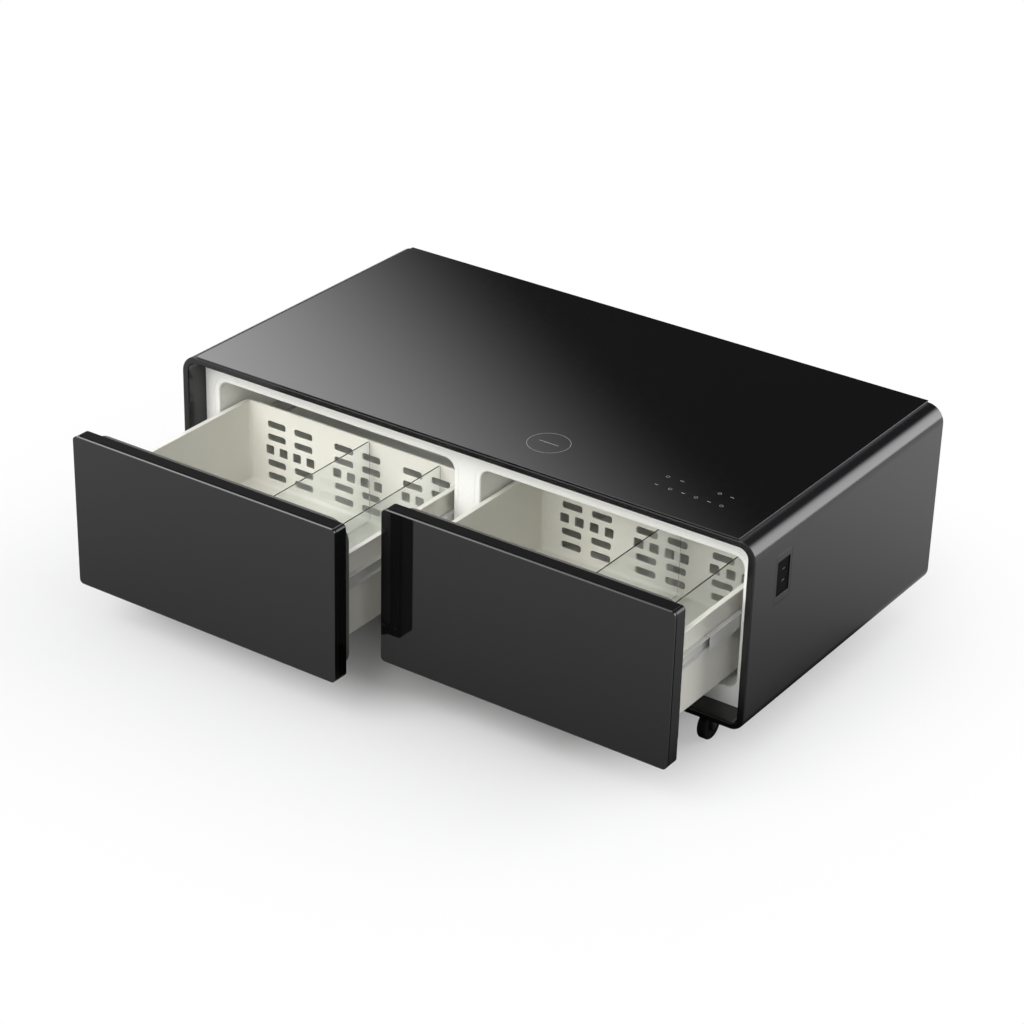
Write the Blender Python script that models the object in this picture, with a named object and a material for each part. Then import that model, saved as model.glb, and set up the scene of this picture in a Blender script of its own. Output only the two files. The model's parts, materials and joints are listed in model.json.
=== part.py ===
"""Refrigerator coffee table: a low cabinet on casters, its two refrigerated drawers part open.

Metres, +Z up, drawers opening towards -Y. The origin is on the floor, under the middle of the
whole table with its drawers open. Inside the cabinet, places are measured from the front lower
left corner of the outer shell: x to the right, y to the back, z up.
"""

import math

import bmesh
import bpy
from mathutils import Vector

# Cabinet
CABINET_LENGTH = 1.300
CABINET_DEPTH = 0.706
CABINET_HEIGHT = 0.384
FLOOR_CLEARANCE = 0.076
GLASS_THICKNESS = 0.004
GLASS_CHAMFER = 0.0008
GLASS_CORNER = 0.002
TOP_CORNER_RADIUS = 0.0357
BOTTOM_CORNER_RADIUS = 0.0292
SIDE_WALL = 0.0155
BOTTOM_WALL = 0.0137
TOP_WALL = 0.0131
RIM_ROUND = 0.003

# Clearances and cutter overrun
FIT_GAP = 0.0003
OVERRUN = 0.005

# How far the drawers stand open, as shares of the slides' length
LEFT_OPEN_SHARE = 0.85
RIGHT_OPEN_SHARE = 0.55675
MID_RAIL_SHARE = 0.5

# Face frame: its borders inside the shell, and its two openings
FRAME_SETBACK = 0.0515
FRAME_THICKNESS = 0.004
FRAME_SIDE_BORDER = 0.034
FRAME_BOTTOM_BORDER = 0.0353
FRAME_TOP_BORDER = 0.0499
MULLION_WIDTH = 0.060
OPENING_RADIUS = 0.022

# Liners, the coolers' space behind them, the insulation and the machine compartment
LINER_WALL = 0.0025
COOLER_SPACE = 0.066
INSULATION_BACK_WALL = 0.020
MACHINE_DEPTH = 0.123

# Fans and the spiders that carry them
FAN_BORE = 0.0455
FAN_TIP_GAP = 0.0025
SPIDER_DISC_RADIUS = 0.018
SPIDER_ARM_WIDTH = 0.008
FAN_PIN_RADIUS = 0.002
FAN_PIN_LENGTH = 0.002
HUB_RADIUS = 0.017
HUB_DEPTH = 0.014
BLADE_COUNT = 7
BLADE_ROOT_SINK = 0.005
BLADE_THICKNESS = 0.0016
BLADE_START = 0.002
BLADE_PITCH = 0.009

# Drawer fronts and the gaps round them when they are closed
FRONT_SIDE_GAP = 0.008
FRONT_MIDDLE_GAP = 0.0142
FRONT_BOTTOM_GAP = 0.0136
FRONT_TOP_GAP = 0.0258
FRONT_RADIUS = 0.009
FRONT_THICKNESS = 0.0362
FRONT_GLASS_THICKNESS = 0.005
FRONT_EDGE_ROUND = 0.0012
GASKET_INSET = 0.0065
GASKET_WIDTH = 0.0115
GASKET_GAP = 0.0007
GASKET_LIP = 0.003

# Drawer bins
BIN_SIDE_CLEARANCE = 0.0055
BIN_RIM_OVERHANG = 0.0078
BIN_BACK_OVERHANG = 0.003
BIN_HEADROOM = 0.065
BIN_RIM_THICKNESS = 0.004
BIN_RIM_RADIUS = 0.018
BIN_BOTTOM_CLEARANCE = 0.024
BIN_WALL = 0.003
BIN_BACK_CLEARANCE = 0.0165
DIVIDER_THICKNESS = 0.003
LEFT_DIVIDER_SHARES = (0.556, 0.872)
RIGHT_DIVIDER_SHARES = (0.577, 0.893)

# Air slots in the back wall of a bin
SLOT_GROUP_LEAST_PITCH = 0.140
SLOT_ROW_LEAST_PITCH = 0.020
SLOT_SIDE_MARGIN = 0.0447
SLOT_TOP_MARGIN = 0.0385
SLOT_BOTTOM_MARGIN = 0.0235
SLOT_COLUMN_PITCH = 0.0675
SLOT_LENGTH = 0.045
SLOT_HEIGHT = 0.015
SLOT_CORNER_SHARE = 1 / 3
WINDOWS_PER_GROUP = 4
WINDOW_SIZE = 0.020
WINDOW_PITCH = 0.034
WINDOW_CORNER = 0.003

# Telescopic slides
RAIL_DROP = 0.061
RAIL_HEIGHT = 0.0316
RAIL_STEEL = 0.0012
RAIL_INSET = 0.0062
RAIL_BACK_CLEARANCE = 0.0255
RAIL_WEB_STEP = 0.0016

# Strip lights under the liner ceilings
LIGHT_SIDE_MARGIN = 0.04525
LIGHT_DEPTH = 0.010
LIGHT_THICKNESS = 0.004
LIGHT_INSET = 0.0142

# Evaporators behind the liners
EVAPORATOR_LENGTH = 0.420
EVAPORATOR_HEIGHT = 0.160
EVAPORATOR_DEPTH = 0.038
EVAPORATOR_FINS = 19
EVAPORATOR_SPINE = 0.010
FIN_THICKNESS_SHARE = 0.35

# Machine compartment behind the insulation
REAR_PANEL_SETBACK = 0.004
REAR_PANEL_THICKNESS = 0.003
VENT_LENGTH = 0.120
VENT_WIDTH = 0.006
VENT_PITCH = 0.018
VENTS_PER_GROUP = 12
VENT_RADIUS = 0.002
CONDENSER_LENGTH = 0.300
CONDENSER_HEIGHT = 0.200
CONDENSER_DEPTH = 0.036
CONDENSER_FINS = 16
CONDENSER_SPINE = 0.008
CONDENSER_OFF_CENTRE = 0.010
CONDENSER_GAP = 0.004
FAN_FRAME_WALL = 0.0065
FAN_FRAME_DEPTH = 0.024
FAN_FRAME_BACK_WALL = 0.003
FAN_FRAME_RADIUS = 0.006
COMPRESSOR_SPACING = 0.320
COMPRESSOR_RADIUS = 0.050
COMPRESSOR_HEIGHT = 0.140
COMPRESSOR_DOME = 0.022
COMPRESSOR_NECK_RADIUS = 0.030
COMPRESSOR_BASE_LENGTH = 0.150
COMPRESSOR_BASE_GAP = 0.0075
COMPRESSOR_BASE_HEIGHT = 0.016
COMPRESSOR_BASE_STEEL = 0.003
PIPE_RADIUS = 0.003
PIPE_BEND_RADIUS = 0.012
DISCHARGE_DROP = 0.030
SUCTION_RISE = 0.036
BOARD_SPACING = 0.340
BOARD_LENGTH = 0.180
BOARD_HEIGHT = 0.100
BOARD_THICKNESS = 0.002
BOARD_BOTTOM = 0.120
BOARD_PART_LENGTH = 0.050
BOARD_PART_HEIGHT = 0.025
BOARD_PART_DEPTH = 0.018
BOARD_STANDOFF = 0.008
BOARD_STANDOFF_RADIUS = 0.004
BOARD_STANDOFF_INSET = 0.0125
BOARD_CORNER = 0.004

# Mains inlet in the rear panel
INLET_CENTRE_X = 0.130
INLET_CENTRE_Z = 0.060
INLET_LENGTH = 0.030
INLET_HEIGHT = 0.022
INLET_FLANGE = 0.006
INLET_FLANGE_THICKNESS = 0.0018
INLET_DEPTH = 0.022
INLET_RECESS_DEPTH = 0.016
INLET_WALL = 0.003
INLET_RADIUS = 0.003
INLET_PIN_SPACING = 0.010
INLET_PIN_RADIUS = 0.0018
INLET_PIN_LENGTH = 0.010

# Charging coil and touch board, in pockets under the glass
COIL_INSET_X = 0.507
COIL_CENTRE_Y = 0.108
COIL_RADIUS = 0.030
COIL_BORE_RADIUS = 0.010
COIL_THICKNESS = 0.003
TOUCH_INSET_X = 0.191
TOUCH_CENTRE_Y = 0.107
TOUCH_LENGTH = 0.180
TOUCH_WIDTH = 0.062
TOUCH_THICKNESS = 0.0016
TOUCH_RADIUS = 0.004
POCKET_CLEARANCE = 0.001

# Charging port module in the right side wall
PORT_CENTRE_Y = 0.106
PORT_DROP = 0.1035
PORT_FLANGE_WIDTH = 0.056
PORT_FLANGE_HEIGHT = 0.098
PORT_FLANGE_THICKNESS = 0.0015
PORT_FLANGE_RADIUS = 0.004
PORT_WIDTH = 0.044
PORT_HEIGHT = 0.070
PORT_RECESS_DEPTH = 0.003
PORT_BODY_MARGIN = 0.003
PORT_BACK_GAP = 0.001
PORT_RADIUS = 0.002
SOCKET_WIDTH = 0.0135
SOCKET_HEIGHT = 0.006
SOCKET_FLOOR = 0.0015
SOCKET_PITCH = 0.023
SOCKET_OFFSET_Y = 0.006
SOCKET_RADIUS = 0.0008

# Casters
CASTER_INSET_X = 0.105
CASTER_INSET_Y = 0.080
CASTER_PLATE_RADIUS = 0.030
CASTER_PLATE_THICKNESS = 0.003
CASTER_BOSS_RADIUS = 0.016
CASTER_BOSS_DEPTH = 0.003
KINGPIN_RADIUS = 0.004
KINGPIN_HEAD_RADIUS = 0.007
KINGPIN_HEAD_THICKNESS = 0.0024
FORK_TOP_THICKNESS = 0.0045
FORK_FRONT = 0.016
FORK_REAR = 0.030
FORK_CHEEK = 0.003
FORK_BOSS_RADIUS = 0.008
CASTER_TRAIL = 0.020
WHEEL_TOP_GAP = 0.0069
WHEEL_WIDTH = 0.020
WHEEL_SIDE_PLAY = 0.0005
WHEEL_FACE_INSET = 0.001
WHEEL_EDGE_ROUND = 0.003
WHEEL_TYRE_DEPTH = 0.009
WHEEL_HUB_RADIUS = 0.012
WHEEL_DISH = 0.004
AXLE_RADIUS = 0.003
AXLE_HEAD_RADIUS = 0.005
AXLE_HEAD_THICKNESS = 0.0018

# Fineness of the round shapes
SHELL_CORNER_STEPS = 8
CORNER_STEPS = 5
SMALL_CORNER_STEPS = 2
RIM_STEPS = 2
WHEEL_SEGMENTS = 20
ROUND_SEGMENTS = 24
SMALL_SEGMENTS = 12
SECTOR_STEPS = 6
BLADE_SHARES = (0.0, 0.5, 1.0)
BLADE_ROOT_HALF_DEG = 19
BLADE_TIP_HALF_DEG = 15

# Sizes that follow
SHELL_HEIGHT = CABINET_HEIGHT - GLASS_THICKNESS
CAVITY_TOP = SHELL_HEIGHT - TOP_WALL
CAVITY_WIDTH = CABINET_LENGTH - 2 * SIDE_WALL
REAR_PANEL_FRONT = CABINET_DEPTH - REAR_PANEL_SETBACK - REAR_PANEL_THICKNESS
INSULATION_BACK = REAR_PANEL_FRONT - MACHINE_DEPTH
POCKET_BACK = INSULATION_BACK - INSULATION_BACK_WALL
LINER_BACK = POCKET_BACK - COOLER_SPACE
LINER_MOUTH = FRAME_SETBACK + FRAME_THICKNESS + FIT_GAP
OPENING_WIDTH = (CAVITY_WIDTH - 2 * FRAME_SIDE_BORDER - MULLION_WIDTH) / 2
OPENING_BOTTOM = BOTTOM_WALL + FRAME_BOTTOM_BORDER
OPENING_TOP = CAVITY_TOP - FRAME_TOP_BORDER
FRONT_WIDTH = (CAVITY_WIDTH - 2 * FRONT_SIDE_GAP - FRONT_MIDDLE_GAP) / 2
BIN_MOUTH = FRONT_THICKNESS + FIT_GAP
BIN_BACK = LINER_BACK - LINER_WALL - BIN_BACK_CLEARANCE
BIN_BOTTOM = OPENING_BOTTOM + BIN_BOTTOM_CLEARANCE
BIN_RIM_HEIGHT = OPENING_TOP - BIN_HEADROOM
RAIL_CENTRE = BIN_RIM_HEIGHT - RAIL_DROP
RAIL_FRONT = LINER_MOUTH + RAIL_INSET
RAIL_BACK = LINER_BACK - LINER_WALL - RAIL_BACK_CLEARANCE
RAIL_LENGTH = RAIL_BACK - RAIL_FRONT
LEFT_REST_OPENING = LEFT_OPEN_SHARE * RAIL_LENGTH
RIGHT_REST_OPENING = RIGHT_OPEN_SHARE * RAIL_LENGTH
SHELL_FRONT_Y = (LEFT_REST_OPENING - CABINET_DEPTH) / 2
RAIL_SPACE = BIN_SIDE_CLEARANCE + BIN_RIM_OVERHANG - 2 * FIT_GAP
FAN_TIP_RADIUS = FAN_BORE - FAN_TIP_GAP
FAN_FRAME_SIZE = 2 * (FAN_BORE + FAN_FRAME_WALL)
CONDENSER_CENTRE_X = CABINET_LENGTH / 2 - CONDENSER_OFF_CENTRE
COMPRESSOR_CENTRE_X = CONDENSER_CENTRE_X + COMPRESSOR_SPACING
BOARD_CENTRE_X = CONDENSER_CENTRE_X - BOARD_SPACING
COIL_CENTRE_X = CABINET_LENGTH - COIL_INSET_X
TOUCH_CENTRE_X = CABINET_LENGTH - TOUCH_INSET_X
PORT_CENTRE_Z = SHELL_HEIGHT - PORT_DROP
PORT_BODY_DEPTH = SIDE_WALL - PORT_BACK_GAP
FORK_TOP_DROP = CASTER_PLATE_THICKNESS + CASTER_BOSS_DEPTH + 2 * FIT_GAP
WHEEL_TOP_DROP = FORK_TOP_DROP + FORK_TOP_THICKNESS + WHEEL_TOP_GAP
WHEEL_RADIUS = (FLOOR_CLEARANCE - WHEEL_TOP_DROP) / 2

# Colour, roughness, metallic value and alpha of each finish
FINISHES = {
    "lacquer": ((0.060, 0.060, 0.064), 0.22, 0.0, 1.0),
    "top_glass": ((0.010, 0.010, 0.011), 0.06, 0.0, 1.0),
    "front_glass": ((0.045, 0.045, 0.045), 0.12, 0.0, 1.0),
    "dark_plastic": ((0.012, 0.012, 0.013), 0.35, 0.0, 1.0),
    "white_plastic": ((0.82, 0.81, 0.76), 0.35, 0.0, 1.0),
    "gasket_rubber": ((0.03, 0.03, 0.03), 0.80, 0.0, 1.0),
    "clear_plastic": ((0.80, 0.84, 0.83), 0.05, 0.0, 0.3),
    "white_steel": ((0.70, 0.70, 0.67), 0.30, 0.2, 1.0),
    "bare_steel": ((0.45, 0.45, 0.46), 0.35, 0.9, 1.0),
    "light_diffuser": ((0.95, 0.94, 0.88), 0.50, 0.0, 1.0),
    "foam": ((0.80, 0.72, 0.50), 0.95, 0.0, 1.0),
    "black_steel": ((0.025, 0.025, 0.027), 0.45, 0.3, 1.0),
    "fin_aluminium": ((0.62, 0.63, 0.65), 0.35, 0.9, 1.0),
    "copper": ((0.72, 0.36, 0.20), 0.30, 0.9, 1.0),
    "circuit_board": ((0.02, 0.16, 0.07), 0.45, 0.0, 1.0),
    "tyre_rubber": ((0.010, 0.010, 0.010), 0.70, 0.0, 1.0),
}


def clear_scene():
    for old in list(bpy.data.objects):
        bpy.data.objects.remove(old, do_unlink=True)


def material_for(name, finish):
    colour, roughness, metallic, alpha = FINISHES[finish]
    material = bpy.data.materials.new(name)
    material.use_nodes = True
    shader = material.node_tree.nodes["Principled BSDF"]
    shader.inputs["Base Color"].default_value = (*colour, 1.0)
    shader.inputs["Roughness"].default_value = roughness
    shader.inputs["Metallic"].default_value = metallic
    shader.inputs["Alpha"].default_value = alpha
    return material


def empty_at(name, place, parent=None):
    empty = bpy.data.objects.new(name, None)
    bpy.context.scene.collection.objects.link(empty)
    empty.parent = parent
    empty.location = place
    return empty


class RoundedBox:
    """A rectangle (low corner, high corner) with one radius below and one above."""

    def __init__(self, low, high, lower_radius, upper_radius=None, steps=CORNER_STEPS):
        self.low = low
        self.high = high
        self.lower_radius = lower_radius
        self.upper_radius = lower_radius if upper_radius is None else upper_radius
        self.steps = steps

    def grown(self, by):
        """The same shape with every side moved out."""
        low = (self.low[0] - by, self.low[1] - by)
        high = (self.high[0] + by, self.high[1] + by)
        return RoundedBox(low, high, self.lower_radius + by, self.upper_radius + by, self.steps)

    def corners(self):
        return [(u, v) for u in (self.low[0], self.high[0]) for v in (self.low[1], self.high[1])]

    def points(self):
        lower = self.lower_radius
        upper = self.upper_radius
        corners = (
            (self.low[0] + lower, self.low[1] + lower, lower, 180),
            (self.high[0] - lower, self.low[1] + lower, lower, 270),
            (self.high[0] - upper, self.high[1] - upper, upper, 0),
            (self.low[0] + upper, self.high[1] - upper, upper, 90),
        )
        points = []
        for centre_u, centre_v, radius, start in corners:
            points += arc(centre_u, centre_v, radius, start, start + 90, self.steps)
        return points


def arc(centre_u, centre_v, radius, start, end, steps):
    """Points along an arc, both ends included, angles in degrees."""
    points = []
    for step in range(steps + 1):
        angle = math.radians(start + (end - start) * step / steps)
        points.append((centre_u + radius * math.cos(angle), centre_v + radius * math.sin(angle)))
    return points


def circle(centre_u, centre_v, radius, segments):
    return arc(centre_u, centre_v, radius, -90, 270, segments)[:-1]


def spread(count, pitch):
    """Offsets from the middle of evenly spaced copies."""
    return [(index - (count - 1) / 2) * pitch for index in range(count)]


def centred_box(centre_u, centre_v, width, height, radius, steps=SMALL_CORNER_STEPS):
    low = (centre_u - width / 2, centre_v - height / 2)
    high = (centre_u + width / 2, centre_v + height / 2)
    return RoundedBox(low, high, radius, steps=steps)


def placed(point, distance, axis):
    """A point of a flat outline, set at a distance along X, Y or Z."""
    u, v = point
    if axis == "X":
        return (distance, u, v)
    if axis == "Y":
        return (u, distance, v)
    return (u, v, distance)


def add_skin(mesh, rings, joined):
    """Faces between neighbouring rings, with both ends capped or joined to each other."""
    rows = [[mesh.verts.new(point) for point in ring] for ring in rings]
    pairs = list(zip(rows, rows[1:]))
    if joined:
        pairs.append((rows[-1], rows[0]))
    else:
        mesh.faces.new(rows[0])
        mesh.faces.new(rows[-1])
    for near, far in pairs:
        for index in range(len(near)):
            following = (index + 1) % len(near)
            mesh.faces.new((near[index], near[following], far[following], far[index]))


def new_object(name, mesh, parent, place=(0, 0, 0)):
    """An object of the finished mesh, its faces turned outwards and its round sides smooth."""
    bmesh.ops.recalc_face_normals(mesh, faces=mesh.faces)
    data = bpy.data.meshes.new(name)
    mesh.to_mesh(data)
    mesh.free()
    data.shade_smooth()
    data.set_sharp_from_angle(angle=math.radians(35))
    made = bpy.data.objects.new(name, data)
    bpy.context.scene.collection.objects.link(made)
    made.parent = parent
    made.location = place
    return made


def stations_object(name, stations, axis, parent, joined=False, place=(0, 0, 0)):
    """A solid through flat outlines, each at its distance along the axis."""
    mesh = bmesh.new()
    rings = [[placed(point, distance, axis) for point in outline] for outline, distance in stations]
    add_skin(mesh, rings, joined)
    return new_object(name, mesh, parent, place)


def prisms_object(name, outlines, near, far, axis, parent, place=(0, 0, 0)):
    """One mesh with a straight prism on each outline."""
    mesh = bmesh.new()
    for outline in outlines:
        rings = [[placed(point, distance, axis) for point in outline] for distance in (near, far)]
        add_skin(mesh, rings, False)
    return new_object(name, mesh, parent, place)


def turned_object(name, profile, axis, segments, parent, joined=False, place=(0, 0, 0)):
    """A solid of revolution: profile gives radius and distance along the axis."""
    stations = [(circle(0, 0, radius, segments), distance) for radius, distance in profile]
    return stations_object(name, stations, axis, parent, joined, place)


def block_object(name, low, high, parent):
    outline = [(low[0], low[1]), (high[0], low[1]), (high[0], high[1]), (low[0], high[1])]
    return prisms_object(name, [outline], low[2], high[2], "Z", parent)


def finished(made, finish):
    made.data.materials.clear()
    made.data.materials.append(material_for(made.name, finish))
    return made


def combine(target, tool, operation):
    """Cuts or joins a hidden tool with the target."""
    tool.hide_render = True
    tool.display_type = "WIRE"
    modifier = target.modifiers.new(tool.name, "BOOLEAN")
    modifier.operation = operation
    modifier.solver = "EXACT"
    modifier.object = tool


def cut(target, tool):
    combine(target, tool, "DIFFERENCE")


def join(target, tool):
    combine(target, tool, "UNION")


def shell_outside():
    return RoundedBox(
        (0, 0),
        (CABINET_LENGTH, SHELL_HEIGHT),
        BOTTOM_CORNER_RADIUS,
        TOP_CORNER_RADIUS,
        SHELL_CORNER_STEPS,
    )


def shell_inside():
    return RoundedBox(
        (SIDE_WALL, BOTTOM_WALL),
        (CABINET_LENGTH - SIDE_WALL, CAVITY_TOP),
        BOTTOM_CORNER_RADIUS - SIDE_WALL,
        TOP_CORNER_RADIUS - SIDE_WALL,
        SHELL_CORNER_STEPS,
    )


def opening_of(side):
    """The opening of the face frame for the left or right drawer."""
    left_x = SIDE_WALL + FRAME_SIDE_BORDER
    if side == "right":
        left_x = CABINET_LENGTH - left_x - OPENING_WIDTH
    high = (left_x + OPENING_WIDTH, OPENING_TOP)
    return RoundedBox((left_x, OPENING_BOTTOM), high, OPENING_RADIUS)


def front_of(side):
    """The outline of the left or right drawer front."""
    left_x = SIDE_WALL + FRONT_SIDE_GAP
    if side == "right":
        left_x = CABINET_LENGTH - left_x - FRONT_WIDTH
    high = (left_x + FRONT_WIDTH, CAVITY_TOP - FRONT_TOP_GAP)
    return RoundedBox((left_x, BOTTOM_WALL + FRONT_BOTTOM_GAP), high, FRONT_RADIUS)


def middle_x(outline):
    return (outline.low[0] + outline.high[0]) / 2


def middle_z(outline):
    return (outline.low[1] + outline.high[1]) / 2


def round_rim(outline, inward):
    """Stations that round an edge, from the flat front face back to the full outline."""
    stations = []
    for step in range(RIM_STEPS + 1):
        angle = math.radians(90) * step / RIM_STEPS
        offset = inward * (1 - math.sin(angle))
        stations.append((outline.grown(-offset).points(), abs(inward) * (1 - math.cos(angle))))
    return stations


# Outer shell with the glass top and what lies under it
def make_outer_shell(cabinet):
    outside = shell_outside()
    inside = shell_inside()
    stations = round_rim(outside, RIM_ROUND)
    stations.append((outside.points(), CABINET_DEPTH))
    stations.append((inside.points(), CABINET_DEPTH))
    stations += reversed(round_rim(inside, -RIM_ROUND))
    shell = stations_object("outer_shell", stations, "Y", cabinet, joined=True)
    pocket_floor = SHELL_HEIGHT - COIL_THICKNESS - 2 * FIT_GAP
    coil = circle(COIL_CENTRE_X, COIL_CENTRE_Y, COIL_RADIUS + POCKET_CLEARANCE, ROUND_SEGMENTS)
    above = SHELL_HEIGHT + OVERRUN
    cut(shell, prisms_object("coil_pocket", [coil], pocket_floor, above, "Z", cabinet))
    board = touch_outline().grown(POCKET_CLEARANCE).points()
    pocket_floor = SHELL_HEIGHT - TOUCH_THICKNESS - 2 * FIT_GAP
    cut(shell, prisms_object("touch_pocket", [board], pocket_floor, above, "Z", cabinet))
    flange = port_outline(PORT_FLANGE_WIDTH, PORT_FLANGE_HEIGHT, PORT_FLANGE_RADIUS)
    flange_back = CABINET_LENGTH - PORT_FLANGE_THICKNESS - FIT_GAP
    beyond = CABINET_LENGTH + OVERRUN
    flange = flange.grown(FIT_GAP).points()
    cut(shell, prisms_object("port_flange_seat", [flange], flange_back, beyond, "X", cabinet))
    body = port_body_outline().grown(FIT_GAP).points()
    inner_face = CABINET_LENGTH - SIDE_WALL - OVERRUN
    cut(shell, prisms_object("port_hole", [body], inner_face, beyond, "X", cabinet))
    finished(shell, "lacquer")


def make_glass_top(cabinet):
    low = (TOP_CORNER_RADIUS, 0)
    high = (CABINET_LENGTH - TOP_CORNER_RADIUS, CABINET_DEPTH)
    outline = RoundedBox(low, high, GLASS_CORNER, steps=SMALL_CORNER_STEPS)
    stations = [
        (outline.points(), SHELL_HEIGHT + FIT_GAP),
        (outline.points(), CABINET_HEIGHT - GLASS_CHAMFER),
        (outline.grown(-GLASS_CHAMFER).points(), CABINET_HEIGHT),
    ]
    finished(stations_object("glass_top", stations, "Z", cabinet), "top_glass")


def touch_outline():
    return centred_box(TOUCH_CENTRE_X, TOUCH_CENTRE_Y, TOUCH_LENGTH, TOUCH_WIDTH, TOUCH_RADIUS)


def make_top_electronics(cabinet):
    top = SHELL_HEIGHT - FIT_GAP
    bottom = top - COIL_THICKNESS
    profile = [
        (COIL_BORE_RADIUS, bottom),
        (COIL_RADIUS, bottom),
        (COIL_RADIUS, top),
        (COIL_BORE_RADIUS, top),
    ]
    place = (COIL_CENTRE_X, COIL_CENTRE_Y, 0)
    coil = turned_object("charging_coil", profile, "Z", ROUND_SEGMENTS, cabinet, True, place)
    finished(coil, "copper")
    outline = touch_outline().points()
    board = prisms_object("touch_board", [outline], top - TOUCH_THICKNESS, top, "Z", cabinet)
    finished(board, "circuit_board")


# Port module in the right side wall
def port_outline(width, height, radius):
    return centred_box(PORT_CENTRE_Y, PORT_CENTRE_Z, width, height, radius)


def port_body_outline():
    width = PORT_WIDTH + 2 * PORT_BODY_MARGIN
    height = PORT_HEIGHT + 2 * PORT_BODY_MARGIN
    return port_outline(width, height, PORT_RADIUS)


def make_port_module(cabinet):
    flange = port_outline(PORT_FLANGE_WIDTH, PORT_FLANGE_HEIGHT, PORT_FLANGE_RADIUS).points()
    body = port_body_outline().points()
    recess = port_outline(PORT_WIDTH, PORT_HEIGHT, PORT_RADIUS).points()
    face = CABINET_LENGTH
    stations = [
        (body, face - PORT_BODY_DEPTH),
        (body, face - PORT_FLANGE_THICKNESS),
        (flange, face - PORT_FLANGE_THICKNESS),
        (flange, face),
        (recess, face),
        (recess, face - PORT_RECESS_DEPTH),
    ]
    module = stations_object("port_module", stations, "X", cabinet)
    sockets = []
    for side in (-1, 1):
        centre_z = PORT_CENTRE_Z + side * SOCKET_PITCH / 2
        centre_y = PORT_CENTRE_Y + SOCKET_OFFSET_Y
        socket = centred_box(centre_y, centre_z, SOCKET_WIDTH, SOCKET_HEIGHT, SOCKET_RADIUS, 1)
        sockets.append(socket.points())
    floor = face - PORT_BODY_DEPTH + SOCKET_FLOOR
    cut(module, prisms_object("port_sockets", sockets, floor, face, "X", cabinet))
    finished(module, "dark_plastic")


# Face frame, liners, insulation and lights
def make_face_frame(cabinet):
    outline = shell_inside().grown(-FIT_GAP).points()
    back = FRAME_SETBACK + FRAME_THICKNESS
    frame = prisms_object("face_frame", [outline], FRAME_SETBACK, back, "Y", cabinet)
    holes = [opening_of(side).points() for side in ("left", "right")]
    front = FRAME_SETBACK - OVERRUN
    cut(frame, prisms_object("frame_openings", holes, front, back + OVERRUN, "Y", cabinet))
    finished(frame, "white_plastic")


def spider_holes(centre_u, centre_v):
    """Three air passages round a disc, with three arms left between them."""
    holes = []
    for start in (90, 210, 330):
        outline = []
        for radius, direction in ((FAN_BORE, 1), (SPIDER_DISC_RADIUS, -1)):
            arm = math.degrees(math.asin(SPIDER_ARM_WIDTH / 2 / radius))
            ends = (start + arm, start + 120 - arm)
            outline += arc(centre_u, centre_v, radius, *ends[::direction], SECTOR_STEPS)
        holes.append(outline)
    return holes


def fan_centre_of(side):
    opening = opening_of(side)
    return middle_x(opening), middle_z(opening)


def make_liner(side, cabinet):
    opening = opening_of(side)
    outer = opening.grown(LINER_WALL).points()
    inner = opening.points()
    stations = [
        (inner, LINER_BACK - LINER_WALL),
        (inner, LINER_MOUTH),
        (outer, LINER_MOUTH),
        (outer, LINER_BACK),
    ]
    liner = stations_object(f"{side}_liner", stations, "Y", cabinet)
    centre = fan_centre_of(side)
    front = LINER_BACK - LINER_WALL - OVERRUN
    back = LINER_BACK + OVERRUN
    grille = prisms_object(f"{side}_grille", spider_holes(*centre), front, back, "Y", cabinet)
    cut(liner, grille)
    pin_hole = circle(*centre, FAN_PIN_RADIUS + FIT_GAP, SMALL_SEGMENTS)
    cut(liner, prisms_object(f"{side}_pin_hole", [pin_hole], front, back, "Y", cabinet))
    finished(liner, "white_plastic")


def make_insulation(cabinet):
    outline = shell_inside().grown(-FIT_GAP).points()
    foam = prisms_object("insulation", [outline], LINER_MOUTH, INSULATION_BACK, "Y", cabinet)
    pockets = [opening_of(side).grown(LINER_WALL + FIT_GAP).points() for side in ("left", "right")]
    front = LINER_MOUTH - OVERRUN
    cut(foam, prisms_object("liner_pockets", pockets, front, POCKET_BACK, "Y", cabinet))
    finished(foam, "foam")


def make_light(side, cabinet):
    opening = opening_of(side)
    front = LINER_MOUTH + LIGHT_INSET
    top = OPENING_TOP - FIT_GAP
    low = (opening.low[0] + LIGHT_SIDE_MARGIN, front, top - LIGHT_THICKNESS)
    high = (opening.high[0] - LIGHT_SIDE_MARGIN, front + LIGHT_DEPTH, top)
    finished(block_object(f"{side}_strip_light", low, high, cabinet), "light_diffuser")


# Cooling parts
def comb_outline(left_x, front_y, length, depth, spine, fins):
    """A row of fins standing forward from a spine, seen from above."""
    back_y = front_y + depth
    root_y = back_y - spine
    pitch = length / (fins - 1 + FIN_THICKNESS_SHARE)
    fin = pitch * FIN_THICKNESS_SHARE
    outline = [(left_x, back_y)]
    for index in range(fins):
        start = left_x + index * pitch
        if index:
            outline.append((start, root_y))
        outline.append((start, front_y))
        outline.append((start + fin, front_y))
        if index < fins - 1:
            outline.append((start + fin, root_y))
    outline.append((left_x + length, back_y))
    return outline


def make_evaporator(side, cabinet):
    floor = OPENING_BOTTOM - LINER_WALL
    left_x = middle_x(opening_of(side)) - EVAPORATOR_LENGTH / 2
    front_y = POCKET_BACK - FIT_GAP - EVAPORATOR_DEPTH
    outline = comb_outline(
        left_x, front_y, EVAPORATOR_LENGTH, EVAPORATOR_DEPTH, EVAPORATOR_SPINE, EVAPORATOR_FINS
    )
    name = f"{side}_evaporator"
    top = floor + EVAPORATOR_HEIGHT
    finished(prisms_object(name, [outline], floor, top, "Z", cabinet), "fin_aluminium")


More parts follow.
